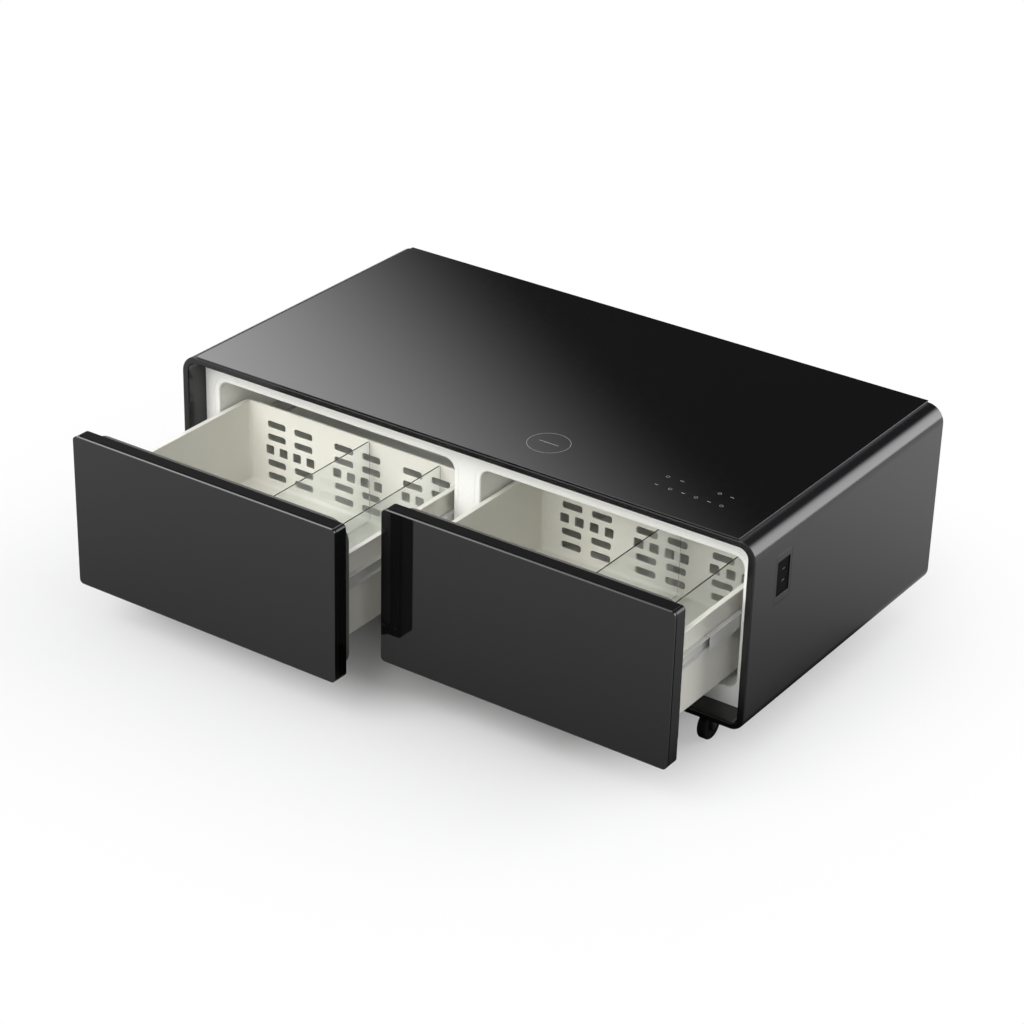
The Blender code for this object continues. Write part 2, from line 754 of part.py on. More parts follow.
def make_rotor(name, place, facing, cabinet):
    """A fan rotor on its axis, which runs along Y, with a pin that points along facing."""
    front = -facing * FAN_PIN_LENGTH
    profile = [
        (FAN_PIN_RADIUS, front),
        (FAN_PIN_RADIUS, 0),
        (HUB_RADIUS, 0),
        (HUB_RADIUS, facing * HUB_DEPTH),
    ]
    rotor = turned_object(name, profile, "Y", ROUND_SEGMENTS, cabinet, place=place)
    mesh = bmesh.new()
    for blade in range(BLADE_COUNT):
        middle = 360 * blade / BLADE_COUNT
        rings = []
        for share in BLADE_SHARES:
            root = HUB_RADIUS - BLADE_ROOT_SINK
            radius = root + share * (FAN_TIP_RADIUS - root)
            half = BLADE_ROOT_HALF_DEG + share * (BLADE_TIP_HALF_DEG - BLADE_ROOT_HALF_DEG)
            rings.append(blade_section(radius, middle, half, facing))
        add_skin(mesh, rings, False)
    join(rotor, new_object(f"{name}_blades", mesh, cabinet, place))
    finished(rotor, "dark_plastic")


def blade_section(radius, middle, half, facing):
    corners = (
        (middle - half, BLADE_START),
        (middle + half, BLADE_START + BLADE_PITCH),
        (middle + half, BLADE_START + BLADE_PITCH + BLADE_THICKNESS),
        (middle - half, BLADE_START + BLADE_THICKNESS),
    )
    section = []
    for angle, distance in corners:
        turn = math.radians(angle)
        section.append((radius * math.sin(turn), facing * distance, radius * math.cos(turn)))
    return section


def make_condenser(cabinet):
    floor = BOTTOM_WALL + FIT_GAP
    front_y = INSULATION_BACK + FIT_GAP
    left_x = CONDENSER_CENTRE_X - CONDENSER_LENGTH / 2
    outline = comb_outline(
        left_x, front_y, CONDENSER_LENGTH, CONDENSER_DEPTH, CONDENSER_SPINE, CONDENSER_FINS
    )
    top = floor + CONDENSER_HEIGHT
    made = prisms_object("condenser", [outline], floor, top, "Z", cabinet)
    finished(made, "fin_aluminium")


def condenser_fan_place():
    """The front face of the condenser fan frame and the height of its axis."""
    front_y = INSULATION_BACK + FIT_GAP + CONDENSER_DEPTH + CONDENSER_GAP
    centre_z = BOTTOM_WALL + FIT_GAP + FAN_FRAME_SIZE / 2
    return front_y, centre_z


def make_condenser_fan(cabinet):
    front_y, centre_z = condenser_fan_place()
    outline = centred_box(
        CONDENSER_CENTRE_X, centre_z, FAN_FRAME_SIZE, FAN_FRAME_SIZE, FAN_FRAME_RADIUS
    )
    back_y = front_y + FAN_FRAME_DEPTH
    frame = prisms_object("condenser_fan_frame", [outline.points()], front_y, back_y, "Y", cabinet)
    bore = circle(CONDENSER_CENTRE_X, centre_z, FAN_BORE, ROUND_SEGMENTS)
    floor_y = back_y - FAN_FRAME_BACK_WALL
    cut(frame, prisms_object("fan_frame_bore", [bore], front_y - OVERRUN, floor_y, "Y", cabinet))
    passages = spider_holes(CONDENSER_CENTRE_X, centre_z)
    near = floor_y - OVERRUN
    far = back_y + OVERRUN
    cut(frame, prisms_object("fan_frame_passages", passages, near, far, "Y", cabinet))
    pin_hole = circle(CONDENSER_CENTRE_X, centre_z, FAN_PIN_RADIUS + FIT_GAP, SMALL_SEGMENTS)
    cut(frame, prisms_object("fan_frame_pin_hole", [pin_hole], near, far, "Y", cabinet))
    finished(frame, "dark_plastic")
    place = (CONDENSER_CENTRE_X, floor_y - FIT_GAP, centre_z)
    make_rotor("condenser_fan_rotor", place, -1, cabinet)


def compressor_place():
    return COMPRESSOR_CENTRE_X, (INSULATION_BACK + REAR_PANEL_FRONT) / 2


def make_compressor(cabinet):
    centre_x, centre_y = compressor_place()
    floor = BOTTOM_WALL + FIT_GAP
    base_top = floor + COMPRESSOR_BASE_HEIGHT
    bottom = base_top - COMPRESSOR_BASE_STEEL / 2
    top = floor + COMPRESSOR_HEIGHT
    profile = [
        (COMPRESSOR_NECK_RADIUS, bottom),
        (COMPRESSOR_RADIUS, bottom + COMPRESSOR_DOME),
        (COMPRESSOR_RADIUS, top - COMPRESSOR_DOME),
        (COMPRESSOR_NECK_RADIUS, top),
    ]
    place = (centre_x, centre_y, 0)
    body = turned_object("compressor", profile, "Z", ROUND_SEGMENTS, cabinet, place=place)
    half = COMPRESSOR_BASE_LENGTH / 2
    inner = half - COMPRESSOR_BASE_STEEL
    under = base_top - COMPRESSOR_BASE_STEEL
    outline = [
        (centre_x - half, floor),
        (centre_x - inner, floor),
        (centre_x - inner, under),
        (centre_x + inner, under),
        (centre_x + inner, floor),
        (centre_x + half, floor),
        (centre_x + half, base_top),
        (centre_x - half, base_top),
    ]
    near = INSULATION_BACK + COMPRESSOR_BASE_GAP
    far = REAR_PANEL_FRONT - COMPRESSOR_BASE_GAP
    join(body, prisms_object("compressor_base", [outline], near, far, "Y", cabinet))
    finished(body, "black_steel")


def make_pipe(name, points, cabinet):
    """A copper pipe through the points, with filled ends."""
    curve = bpy.data.curves.new(name, "CURVE")
    curve.dimensions = "3D"
    curve.bevel_depth = PIPE_RADIUS
    curve.bevel_resolution = 2
    curve.use_fill_caps = True
    spline = curve.splines.new("POLY")
    spline.points.add(len(points) - 1)
    for target, point in zip(spline.points, points):
        target.co.xyz = point
    pipe = bpy.data.objects.new(name, curve)
    bpy.context.scene.collection.objects.link(pipe)
    pipe.parent = cabinet
    finished(pipe, "copper")


def bend(start, corner, end, radius, steps=4):
    """Points that round the corner between two straight runs."""
    into = (Vector(start) - Vector(corner)).normalized()
    out = (Vector(end) - Vector(corner)).normalized()
    first = Vector(corner) + into * radius
    last = Vector(corner) + out * radius
    points = []
    for step in range(steps + 1):
        share = step / steps
        near = first.lerp(Vector(corner), share)
        far = Vector(corner).lerp(last, share)
        points.append(tuple(near.lerp(far, share)))
    return points


def make_pipes(cabinet):
    centre_x, centre_y = compressor_place()
    floor = BOTTOM_WALL + FIT_GAP
    condenser_x = CONDENSER_CENTRE_X + CONDENSER_LENGTH / 2 + FIT_GAP
    condenser_y = INSULATION_BACK + FIT_GAP + CONDENSER_DEPTH - CONDENSER_SPINE / 2
    top = floor + COMPRESSOR_HEIGHT + FIT_GAP
    start = (centre_x, centre_y, top)
    above = (centre_x, centre_y, top + DISCHARGE_DROP)
    side = (condenser_x + DISCHARGE_DROP, centre_y, top + DISCHARGE_DROP)
    level = floor + CONDENSER_HEIGHT - DISCHARGE_DROP
    down = (condenser_x + DISCHARGE_DROP, condenser_y, level)
    end = (condenser_x, condenser_y, level)
    route = [start]
    route += bend(start, above, side, PIPE_BEND_RADIUS)
    route += bend(above, side, down, PIPE_BEND_RADIUS)
    route += bend(side, down, end, PIPE_BEND_RADIUS)
    route.append(end)
    make_pipe("discharge_pipe", route, cabinet)
    wall_y = INSULATION_BACK + FIT_GAP
    offset = COMPRESSOR_NECK_RADIUS - 2 * PIPE_RADIUS
    start = (centre_x + offset, centre_y, top)
    above = (centre_x + offset, centre_y, top + SUCTION_RISE)
    end = (centre_x + offset, wall_y, top + SUCTION_RISE)
    route = [start]
    route += bend(start, above, end, PIPE_BEND_RADIUS)
    route.append(end)
    make_pipe("suction_pipe", route, cabinet)


def make_control_board(cabinet):
    wall_y = INSULATION_BACK + FIT_GAP
    front_y = wall_y + BOARD_STANDOFF
    low_x = BOARD_CENTRE_X - BOARD_LENGTH / 2
    outline = RoundedBox(
        (low_x, BOARD_BOTTOM),
        (low_x + BOARD_LENGTH, BOARD_BOTTOM + BOARD_HEIGHT),
        BOARD_CORNER,
        steps=1,
    )
    back_y = front_y + BOARD_THICKNESS
    board = prisms_object("control_board", [outline.points()], front_y, back_y, "Y", cabinet)
    parts = []
    for column in (-1, 0, 1):
        centre_x = BOARD_CENTRE_X + column * BOARD_LENGTH / 3
        centre_z = BOARD_BOTTOM + BOARD_HEIGHT / 2 + column * BOARD_PART_HEIGHT
        size = (BOARD_PART_LENGTH, BOARD_PART_HEIGHT, BOARD_CORNER)
        part = centred_box(centre_x, centre_z, *size, 1)
        parts.append(part.points())
    middle_y = (front_y + back_y) / 2
    far = back_y + BOARD_PART_DEPTH
    join(board, prisms_object("board_parts", parts, middle_y, far, "Y", cabinet))
    posts = []
    for centre_x, centre_z in outline.grown(-BOARD_STANDOFF_INSET).corners():
        posts.append(circle(centre_x, centre_z, BOARD_STANDOFF_RADIUS, SMALL_SEGMENTS))
    join(board, prisms_object("board_standoffs", posts, wall_y, middle_y, "Y", cabinet))
    finished(board, "circuit_board")


def inlet_outline():
    return centred_box(INLET_CENTRE_X, INLET_CENTRE_Z, INLET_LENGTH, INLET_HEIGHT, INLET_RADIUS)


def make_rear_panel(cabinet):
    front = REAR_PANEL_FRONT
    back = front + REAR_PANEL_THICKNESS
    outline = shell_inside().grown(-FIT_GAP).points()
    panel = prisms_object("rear_panel", [outline], front, back, "Y", cabinet)
    vents = []
    centre_z = (BOTTOM_WALL + CAVITY_TOP) / 2
    for group_x in (CONDENSER_CENTRE_X, COMPRESSOR_CENTRE_X):
        for offset in spread(VENTS_PER_GROUP, VENT_PITCH):
            vent = centred_box(group_x + offset, centre_z, VENT_WIDTH, VENT_LENGTH, VENT_RADIUS, 1)
            vents.append(vent.points())
    near = front - OVERRUN
    far = back + OVERRUN
    cut(panel, prisms_object("rear_vents", vents, near, far, "Y", cabinet))
    hole = inlet_outline().grown(FIT_GAP).points()
    cut(panel, prisms_object("inlet_hole", [hole], near, far, "Y", cabinet))
    finished(panel, "black_steel")


def make_power_inlet(cabinet):
    seat = REAR_PANEL_FRONT + REAR_PANEL_THICKNESS + FIT_GAP
    face = seat + INLET_FLANGE_THICKNESS
    body = inlet_outline()
    flange = body.grown(INLET_FLANGE)
    recess = body.grown(-INLET_WALL)
    floor_y = face - INLET_RECESS_DEPTH
    stations = [
        (body.points(), face - INLET_DEPTH),
        (body.points(), seat),
        (flange.points(), seat),
        (flange.points(), face),
        (recess.points(), face),
        (recess.points(), floor_y),
    ]
    inlet = stations_object("power_inlet", stations, "Y", cabinet)
    pins = []
    for side in (-1, 1):
        centre_x = INLET_CENTRE_X + side * INLET_PIN_SPACING / 2
        pins.append(circle(centre_x, INLET_CENTRE_Z, INLET_PIN_RADIUS, SMALL_SEGMENTS))
    near = floor_y - INLET_WALL / 2
    far = floor_y + INLET_PIN_LENGTH
    join(inlet, prisms_object("inlet_pins", pins, near, far, "Y", cabinet))
    finished(inlet, "dark_plastic")


# Telescopic slides
def channel_outline(web_u, tip_u, height):
    """A C-shaped section: its web at web_u and its flanges reaching to tip_u."""
    inward = math.copysign(RAIL_STEEL, tip_u - web_u)
    low = RAIL_CENTRE - height / 2
    high = RAIL_CENTRE + height / 2
    return [
        (web_u, low),
        (tip_u, low),
        (tip_u, low + RAIL_STEEL),
        (web_u + inward, low + RAIL_STEEL),
        (web_u + inward, high - RAIL_STEEL),
        (tip_u, high - RAIL_STEEL),
        (tip_u, high),
        (web_u, high),
    ]


def rail_sections():
    """Distances from the liner wall: web and flange tip of the fixed, middle and drawer rails."""
    runner_web = RAIL_SPACE
    mid_tip = runner_web - RAIL_STEEL - FIT_GAP
    step = RAIL_STEEL + 2 * FIT_GAP
    return {
        "fixed_rail": ((0, mid_tip - RAIL_STEEL), RAIL_HEIGHT),
        "mid_rail": ((RAIL_WEB_STEP, mid_tip), RAIL_HEIGHT - 2 * RAIL_STEEL - 2 * FIT_GAP),
        "runner": (
            (runner_web, RAIL_WEB_STEP + step),
            RAIL_HEIGHT - 4 * RAIL_STEEL - 4 * FIT_GAP,
        ),
    }


def make_rail(kind, side, end, parent):
    opening = opening_of(side)
    if end == "left":
        wall_x = opening.low[0] + FIT_GAP
        direction = 1
    else:
        wall_x = opening.high[0] - FIT_GAP
        direction = -1
    (web, tip), height = rail_sections()[kind]
    outline = channel_outline(wall_x + direction * web, wall_x + direction * tip, height)
    name = f"{side}_drawer_{end}_{kind}"
    rail = prisms_object(name, [outline], RAIL_FRONT, RAIL_BACK, "Y", parent)
    finished(rail, "white_steel")


# Drawers
def make_drawer_front(side, drawer):
    outline = front_of(side)
    stations = round_rim(outline, FRONT_EDGE_ROUND)
    stations.append((outline.points(), FRONT_GLASS_THICKNESS))
    glass = stations_object(f"{side}_front_glass", stations, "Y", drawer)
    finished(glass, "front_glass")
    near = FRONT_GLASS_THICKNESS + FIT_GAP
    stations = [
        (outline.points(), near),
        (outline.points(), FRONT_THICKNESS - FRONT_EDGE_ROUND),
        (outline.grown(-FRONT_EDGE_ROUND).points(), FRONT_THICKNESS),
    ]
    finished(stations_object(f"{side}_front_core", stations, "Y", drawer), "dark_plastic")


def make_gasket(side, drawer):
    inner = opening_of(side).grown(GASKET_INSET)
    outer = inner.grown(GASKET_WIDTH)
    near = FRONT_THICKNESS + FIT_GAP
    far = FRAME_SETBACK - GASKET_GAP
    stations = [
        (inner.points(), near),
        (outer.points(), near),
        (outer.points(), far - GASKET_LIP),
        (outer.grown(-GASKET_LIP).points(), far),
        (inner.grown(GASKET_LIP).points(), far),
        (inner.points(), far - GASKET_LIP),
    ]
    gasket = stations_object(f"{side}_gasket", stations, "Y", drawer, joined=True)
    finished(gasket, "gasket_rubber")


def bin_rim_of(side):
    """The rim of a bin seen from above, in x and y."""
    opening = opening_of(side)
    low = (opening.low[0] + BIN_SIDE_CLEARANCE, BIN_MOUTH)
    high = (opening.high[0] - BIN_SIDE_CLEARANCE, BIN_BACK)
    return RoundedBox(low, high, BIN_RIM_RADIUS)


def bin_wall_of(side):
    """The outside of a bin's wall, which the rim overhangs less at the back than elsewhere."""
    rim = bin_rim_of(side)
    low = (rim.low[0] + BIN_RIM_OVERHANG, rim.low[1] + BIN_RIM_OVERHANG)
    high = (rim.high[0] - BIN_RIM_OVERHANG, rim.high[1] - BIN_BACK_OVERHANG)
    return RoundedBox(low, high, BIN_RIM_RADIUS - BIN_RIM_OVERHANG)


def slot_outlines(inner):
    """Groups of air slots, with a row of small windows in their middle, as x and z outlines."""
    last_slot = (SLOT_COLUMN_PITCH + SLOT_LENGTH) / 2
    group_span = inner.high[0] - inner.low[0] - 2 * (SLOT_SIDE_MARGIN + last_slot)
    top_row = BIN_RIM_HEIGHT - SLOT_TOP_MARGIN
    bottom_row = BIN_BOTTOM + BIN_WALL + SLOT_BOTTOM_MARGIN
    half_height = (top_row - bottom_row) / 2
    group_gaps = int(group_span / SLOT_GROUP_LEAST_PITCH)
    half_rows = int(half_height / SLOT_ROW_LEAST_PITCH)
    outlines = []
    for group_offset in spread(group_gaps + 1, group_span / group_gaps):
        group_x = middle_x(inner) + group_offset
        for row in range(-half_rows, half_rows + 1):
            centre_z = bottom_row + half_height + row * half_height / half_rows
            if row == 0:
                places = spread(WINDOWS_PER_GROUP, WINDOW_PITCH)
                size = (WINDOW_SIZE, WINDOW_SIZE, WINDOW_CORNER)
            else:
                places = spread(2, SLOT_COLUMN_PITCH)
                size = (SLOT_LENGTH, SLOT_HEIGHT, SLOT_CORNER_SHARE * SLOT_HEIGHT)
            for offset in places:
                outlines.append(centred_box(group_x + offset, centre_z, *size, 1).points())
    return outlines


def make_bin(side, drawer):
    rim = bin_rim_of(side)
    wall = bin_wall_of(side)
    inner = wall.grown(-BIN_WALL)
    stations = [
        (wall.points(), BIN_BOTTOM),
        (wall.points(), BIN_RIM_HEIGHT - BIN_RIM_THICKNESS),
        (rim.points(), BIN_RIM_HEIGHT - BIN_RIM_THICKNESS),
        (rim.points(), BIN_RIM_HEIGHT),
        (inner.points(), BIN_RIM_HEIGHT),
        (inner.points(), BIN_BOTTOM + BIN_WALL),
    ]
    tub = stations_object(f"{side}_bin", stations, "Z", drawer)
    near = inner.high[1] - OVERRUN
    far = rim.high[1] + OVERRUN
    slots = slot_outlines(inner)
    cut(tub, prisms_object(f"{side}_bin_slots", slots, near, far, "Y", drawer))
    finished(tub, "white_plastic")


def make_dividers(side, drawer):
    inner = bin_wall_of(side).grown(-BIN_WALL)
    shares = LEFT_DIVIDER_SHARES if side == "left" else RIGHT_DIVIDER_SHARES
    for number, share in enumerate(shares, 1):
        centre_x = inner.low[0] + share * (inner.high[0] - inner.low[0])
        half = DIVIDER_THICKNESS / 2
        low = (centre_x - half, inner.low[1] + FIT_GAP, BIN_BOTTOM + BIN_WALL + FIT_GAP)
        high = (centre_x + half, inner.high[1] - FIT_GAP, BIN_RIM_HEIGHT - FIT_GAP)
        plate = block_object(f"{side}_divider_{number}", low, high, drawer)
        finished(plate, "clear_plastic")


def make_drawer(side, opening_distance, cabinet):
    slide = empty_at(f"{side}_drawer_slide", (0, -opening_distance, 0), cabinet)
    make_drawer_front(side, slide)
    make_gasket(side, slide)
    make_bin(side, slide)
    make_dividers(side, slide)
    middle = empty_at(f"{side}_mid_slide", (0, -opening_distance * MID_RAIL_SHARE, 0), cabinet)
    for end in ("left", "right"):
        make_rail("fixed_rail", side, end, cabinet)
        make_rail("mid_rail", side, end, middle)
        make_rail("runner", side, end, slide)


# Casters
def make_caster(name, place, cabinet):
    """A swivel caster under the shell, its wheel trailing towards the front."""
    plate_top = -FIT_GAP
    plate_bottom = plate_top - CASTER_PLATE_THICKNESS
    boss_bottom = plate_bottom - CASTER_BOSS_DEPTH
    fork_top = boss_bottom - FIT_GAP
    fork_under = fork_top - FORK_TOP_THICKNESS
    head_top = fork_under - FIT_GAP
    profile = [
        (CASTER_PLATE_RADIUS, plate_top),
        (CASTER_PLATE_RADIUS, plate_bottom),
        (CASTER_BOSS_RADIUS, plate_bottom),
        (CASTER_BOSS_RADIUS, boss_bottom),
        (KINGPIN_RADIUS, boss_bottom),
        (KINGPIN_RADIUS, head_top),
        (KINGPIN_HEAD_RADIUS, head_top),
        (KINGPIN_HEAD_RADIUS, head_top - KINGPIN_HEAD_THICKNESS),
    ]
    plate = turned_object(f"{name}_plate", profile, "Z", ROUND_SEGMENTS, cabinet, place=place)
    finished(plate, "black_steel")
    swivel = empty_at(f"{name}_swivel", place, cabinet)
    axle_z = WHEEL_RADIUS - FLOOR_CLEARANCE
    make_fork(name, swivel, fork_top, fork_under, axle_z)
    make_wheel(name, swivel, (0, -CASTER_TRAIL, axle_z))


def make_fork(name, swivel, fork_top, fork_under, axle_z):
    outline = [(FORK_FRONT, fork_top), (FORK_FRONT, fork_under)]
    outline += arc(-CASTER_TRAIL, axle_z, FORK_BOSS_RADIUS, 0, -180, SECTOR_STEPS)
    outline += [(-FORK_REAR, fork_under), (-FORK_REAR, fork_top)]
    slot_half = WHEEL_WIDTH / 2 + WHEEL_SIDE_PLAY
    half = slot_half + FORK_CHEEK
    fork = prisms_object(f"{name}_fork", [outline], -half, half, "X", swivel)
    low = (-slot_half, -FORK_REAR - OVERRUN, axle_z - FORK_BOSS_RADIUS - OVERRUN)
    high = (slot_half, FORK_FRONT + OVERRUN, fork_under)
    cut(fork, block_object(f"{name}_fork_slot", low, high, swivel))
    hole = circle(0, 0, KINGPIN_RADIUS + FIT_GAP, SMALL_SEGMENTS)
    near = fork_under - OVERRUN
    far = fork_top + OVERRUN
    cut(fork, prisms_object(f"{name}_kingpin_hole", [hole], near, far, "Z", swivel))
    end = half + AXLE_HEAD_THICKNESS
    profile = [
        (AXLE_HEAD_RADIUS, -end),
        (AXLE_HEAD_RADIUS, -slot_half - FORK_CHEEK / 2),
        (AXLE_RADIUS, -slot_half - FORK_CHEEK / 2),
        (AXLE_RADIUS, slot_half + FORK_CHEEK / 2),
        (AXLE_HEAD_RADIUS, slot_half + FORK_CHEEK / 2),
        (AXLE_HEAD_RADIUS, end),
    ]
    place = (0, -CASTER_TRAIL, axle_z)
    axle = turned_object(f"{name}_axle", profile, "X", SMALL_SEGMENTS, swivel, place=place)
    join(fork, axle)
    finished(fork, "black_steel")


def make_wheel(name, swivel, place):
    bore = AXLE_RADIUS + FIT_GAP
    half = WHEEL_WIDTH / 2
    tread_inner = WHEEL_RADIUS - WHEEL_TYRE_DEPTH
    side = [
        (bore, half),
        (WHEEL_HUB_RADIUS, half),
        (WHEEL_HUB_RADIUS + WHEEL_FACE_INSET, half - WHEEL_DISH),
        (tread_inner, half - WHEEL_FACE_INSET),
        (WHEEL_RADIUS - WHEEL_EDGE_ROUND, half - WHEEL_FACE_INSET),
        (WHEEL_RADIUS, half - WHEEL_FACE_INSET - WHEEL_EDGE_ROUND),
    ]
    other_side = [(radius, -distance) for radius, distance in reversed(side)]
    wheel = turned_object(
        f"{name}_wheel", side + other_side, "X", WHEEL_SEGMENTS, swivel, True, place
    )
    finished(wheel, "tyre_rubber")


def make_casters(cabinet):
    rows = {"front": CASTER_INSET_Y, "rear": CABINET_DEPTH - CASTER_INSET_Y}
    columns = {"left": CASTER_INSET_X, "right": CABINET_LENGTH - CASTER_INSET_X}
    for row, y in rows.items():
        for column, x in columns.items():
            make_caster(f"{row}_{column}_caster", (x, y, 0), cabinet)


def main():
    clear_scene()
    corner = (-CABINET_LENGTH / 2, SHELL_FRONT_Y, FLOOR_CLEARANCE)
    cabinet = empty_at("cabinet_corner", corner)
    make_outer_shell(cabinet)
    make_glass_top(cabinet)
    make_top_electronics(cabinet)
    make_port_module(cabinet)
    make_face_frame(cabinet)
    make_insulation(cabinet)
    for side in ("left", "right"):
        make_liner(side, cabinet)
        make_light(side, cabinet)
        make_evaporator(side, cabinet)
        centre_x, centre_z = fan_centre_of(side)
        place = (centre_x, LINER_BACK + FIT_GAP, centre_z)
        make_rotor(f"{side}_fan_rotor", place, 1, cabinet)
    make_condenser(cabinet)
    make_condenser_fan(cabinet)
    make_compressor(cabinet)
    make_pipes(cabinet)
    make_control_board(cabinet)
    make_rear_panel(cabinet)
    make_power_inlet(cabinet)
    make_drawer("left", LEFT_REST_OPENING, cabinet)
    make_drawer("right", RIGHT_REST_OPENING, cabinet)
    make_casters(cabinet)


main()
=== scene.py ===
"""Refrigerator coffee table: looks, studio light and camera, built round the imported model.

Metres, +Z up. Places are measured from the cabinet's corner, the front lower left corner of the
outer shell: x to the right, y to the back, z up. Each drawer is modelled part open, at rest.
"""

import json
import math

import bmesh
import bpy
from mathutils import Matrix, Vector

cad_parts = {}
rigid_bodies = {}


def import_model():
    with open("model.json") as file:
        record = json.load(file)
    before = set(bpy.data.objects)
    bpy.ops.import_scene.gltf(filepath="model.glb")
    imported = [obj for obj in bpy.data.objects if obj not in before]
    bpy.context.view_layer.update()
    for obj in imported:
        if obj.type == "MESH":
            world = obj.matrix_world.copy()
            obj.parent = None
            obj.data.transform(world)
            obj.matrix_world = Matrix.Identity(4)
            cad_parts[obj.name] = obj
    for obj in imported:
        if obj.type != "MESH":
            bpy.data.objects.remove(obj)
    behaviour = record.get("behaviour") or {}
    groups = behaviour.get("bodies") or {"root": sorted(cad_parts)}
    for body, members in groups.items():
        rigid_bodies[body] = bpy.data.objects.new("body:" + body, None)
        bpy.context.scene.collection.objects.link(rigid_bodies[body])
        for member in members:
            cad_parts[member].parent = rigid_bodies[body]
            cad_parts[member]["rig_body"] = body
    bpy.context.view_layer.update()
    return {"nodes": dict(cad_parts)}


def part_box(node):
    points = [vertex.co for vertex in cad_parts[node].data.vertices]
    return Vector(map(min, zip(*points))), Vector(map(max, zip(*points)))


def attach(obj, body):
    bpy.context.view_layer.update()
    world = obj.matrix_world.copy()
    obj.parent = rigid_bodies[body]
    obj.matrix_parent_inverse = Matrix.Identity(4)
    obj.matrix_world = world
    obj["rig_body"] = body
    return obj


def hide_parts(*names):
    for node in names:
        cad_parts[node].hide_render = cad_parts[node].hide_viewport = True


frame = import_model()
NODES = frame["nodes"]
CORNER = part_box("outer_shell")[0]
SIDES = ("left", "right")

# Shell
TOP_CORNER_RADIUS = 0.0357
BOTTOM_CORNER_RADIUS = 0.0292
SIDE_WALL = 0.0155
BOTTOM_WALL = 0.0137
TOP_WALL = 0.0131
RIM_ROUND = 0.003
BACK_ROUND = 0.001
OVERRUN = 0.005

# Glass top and what is printed on it
GLASS_CORNER = 0.002
GLASS_EDGE = 0.0008
PRINT_THICKNESS = 0.0001
RING_CENTRE = (0.793, 0.108)
RING_RADIUS = 0.0415
RING_LINE = 0.0009
DASH_LENGTH = 0.043
DASH_WIDTH = 0.0016
KEY_FRONT_ROW = (0.088, (1.040, 1.069, 1.096, 1.123, 1.150, 1.176))
KEY_BACK_ROW = (0.127, (1.040, 1.070, 1.149, 1.175))
KEY_RADIUS = 0.0036
KEY_LINE = 0.0008
KEY_BAR = 0.0082

# Face frame, liners and their fan grilles
OPENING_RADIUS = 0.022
FRAME_EDGE = 0.0035
FRAME_GAP = 0.0003
GROOVE_INSET = 0.010
GROOVE_WIDTH = 0.0016
GROOVE_DEPTH = 0.0008
LINER_WALL = 0.0025
LINER_FILLET = 0.012
FAN_BORE = 0.0455
SPIDER_DISC_RADIUS = 0.018
SPIDER_ARM_WIDTH = 0.008
SPIDER_ARMS = 3
SPIDER_START = 90
PIN_HOLE_RADIUS = 0.0023
SECTOR_STEPS = 20
GUARD_RADII = (0.025, 0.032, 0.039)
GUARD_WIRE = 0.0008
LIGHT_ROUND = 0.0012
LIGHT_END_ROUND = 0.0006

# Drawer fronts and gaskets
FRONT_RADIUS = 0.009
FRONT_EDGE = 0.0008
GLASS_BACK_EDGE = 0.0004
CORE_EDGE = 0.0016
DOOR_SEAM = 0.002
DOOR_SEAM_DEPTH = 0.003
DOOR_PANEL_THICKNESS = 0.0016
DOOR_PANEL_INSET = 0.012
DOOR_STRIP_THICKNESS = 0.0008
DOOR_STRIP_MARGIN = 0.0012
DOOR_STRIP_RADIUS = 0.002
GASKET_WIDTH = 0.0115
GASKET_RADIUS = 0.0285
GASKET_FOLD = 0.0022
GASKET_LIP = 0.0028
GASKET_FOLD_SHARES = ((0.0, 0.0), (0.2, 0.0), (0.35, 1.0), (0.5, 0.0), (0.65, 1.0), (0.82, 0.0))

# Drawer bins
BIN_WALL = 0.003
BIN_RIM_RADIUS = 0.018
BIN_RIM_OVERHANG = 0.0078
BIN_BACK_OVERHANG = 0.003
BIN_RIM_THICKNESS = 0.004
BIN_RIM_EDGE = 0.0013
BIN_FILLET = 0.007
SLOT_GROUPS = 3
SLOT_ROWS = 5
SLOT_GROUP_PITCH = 0.168
SLOT_COLUMNS = 2
SLOT_COLUMN_PITCH = 0.0675
SLOT_LENGTH = 0.045
SLOT_HEIGHT = 0.015
SLOT_CORNER = 0.005
SLOT_TOP_DROP = 0.0385
SLOT_ROW_PITCH = 0.0285
WINDOWS_PER_GROUP = 4
WINDOW_SIZE = 0.020
WINDOW_PITCH = 0.034
WINDOW_CORNER = 0.003
SLOT_EDGE = 0.0006
DIVIDERS = (1, 2)
DIVIDER_EDGE = 0.0007
DIVIDER_CORNER = 0.004

# Slides and screws
RAIL_EDGE = 0.0003
SCREW_RADIUS = 0.0032
SCREW_HEIGHT = 0.0009
SCREW_SOCKET = 0.0014

# Port module
PORT_FLANGE_RADIUS = 0.004
PORT_FLANGE_EDGE = 0.0006
PORT_RADIUS = 0.002
PORT_WIDTH = 0.044
PORT_HEIGHT = 0.070
PORT_RECESS_DEPTH = 0.003
PORT_BODY_MARGIN = 0.003
SOCKET_WIDTH = 0.0135
SOCKET_HEIGHT = 0.006
SOCKET_DEPTH = 0.010
SOCKET_PITCH = 0.023
SOCKET_OFFSET_Y = 0.006
SOCKET_RADIUS = 0.0008
SOCKET_EDGE = 0.0005
TONGUE_HEIGHT = 0.0018
TONGUE_CORNER = 0.00045
TONGUE_MARGIN = 0.0015
TONGUE_SETBACK = 0.0012
TONGUE_EDGE = 0.0003
PORT_FLANGE_THICKNESS = 0.0015
PORT_SEAT_DEPTH = 0.0018
PORT_INSET_GAP = 0.0004
PORT_INSET_THICKNESS = 0.0012
PORT_INSET_EDGE = 0.0004

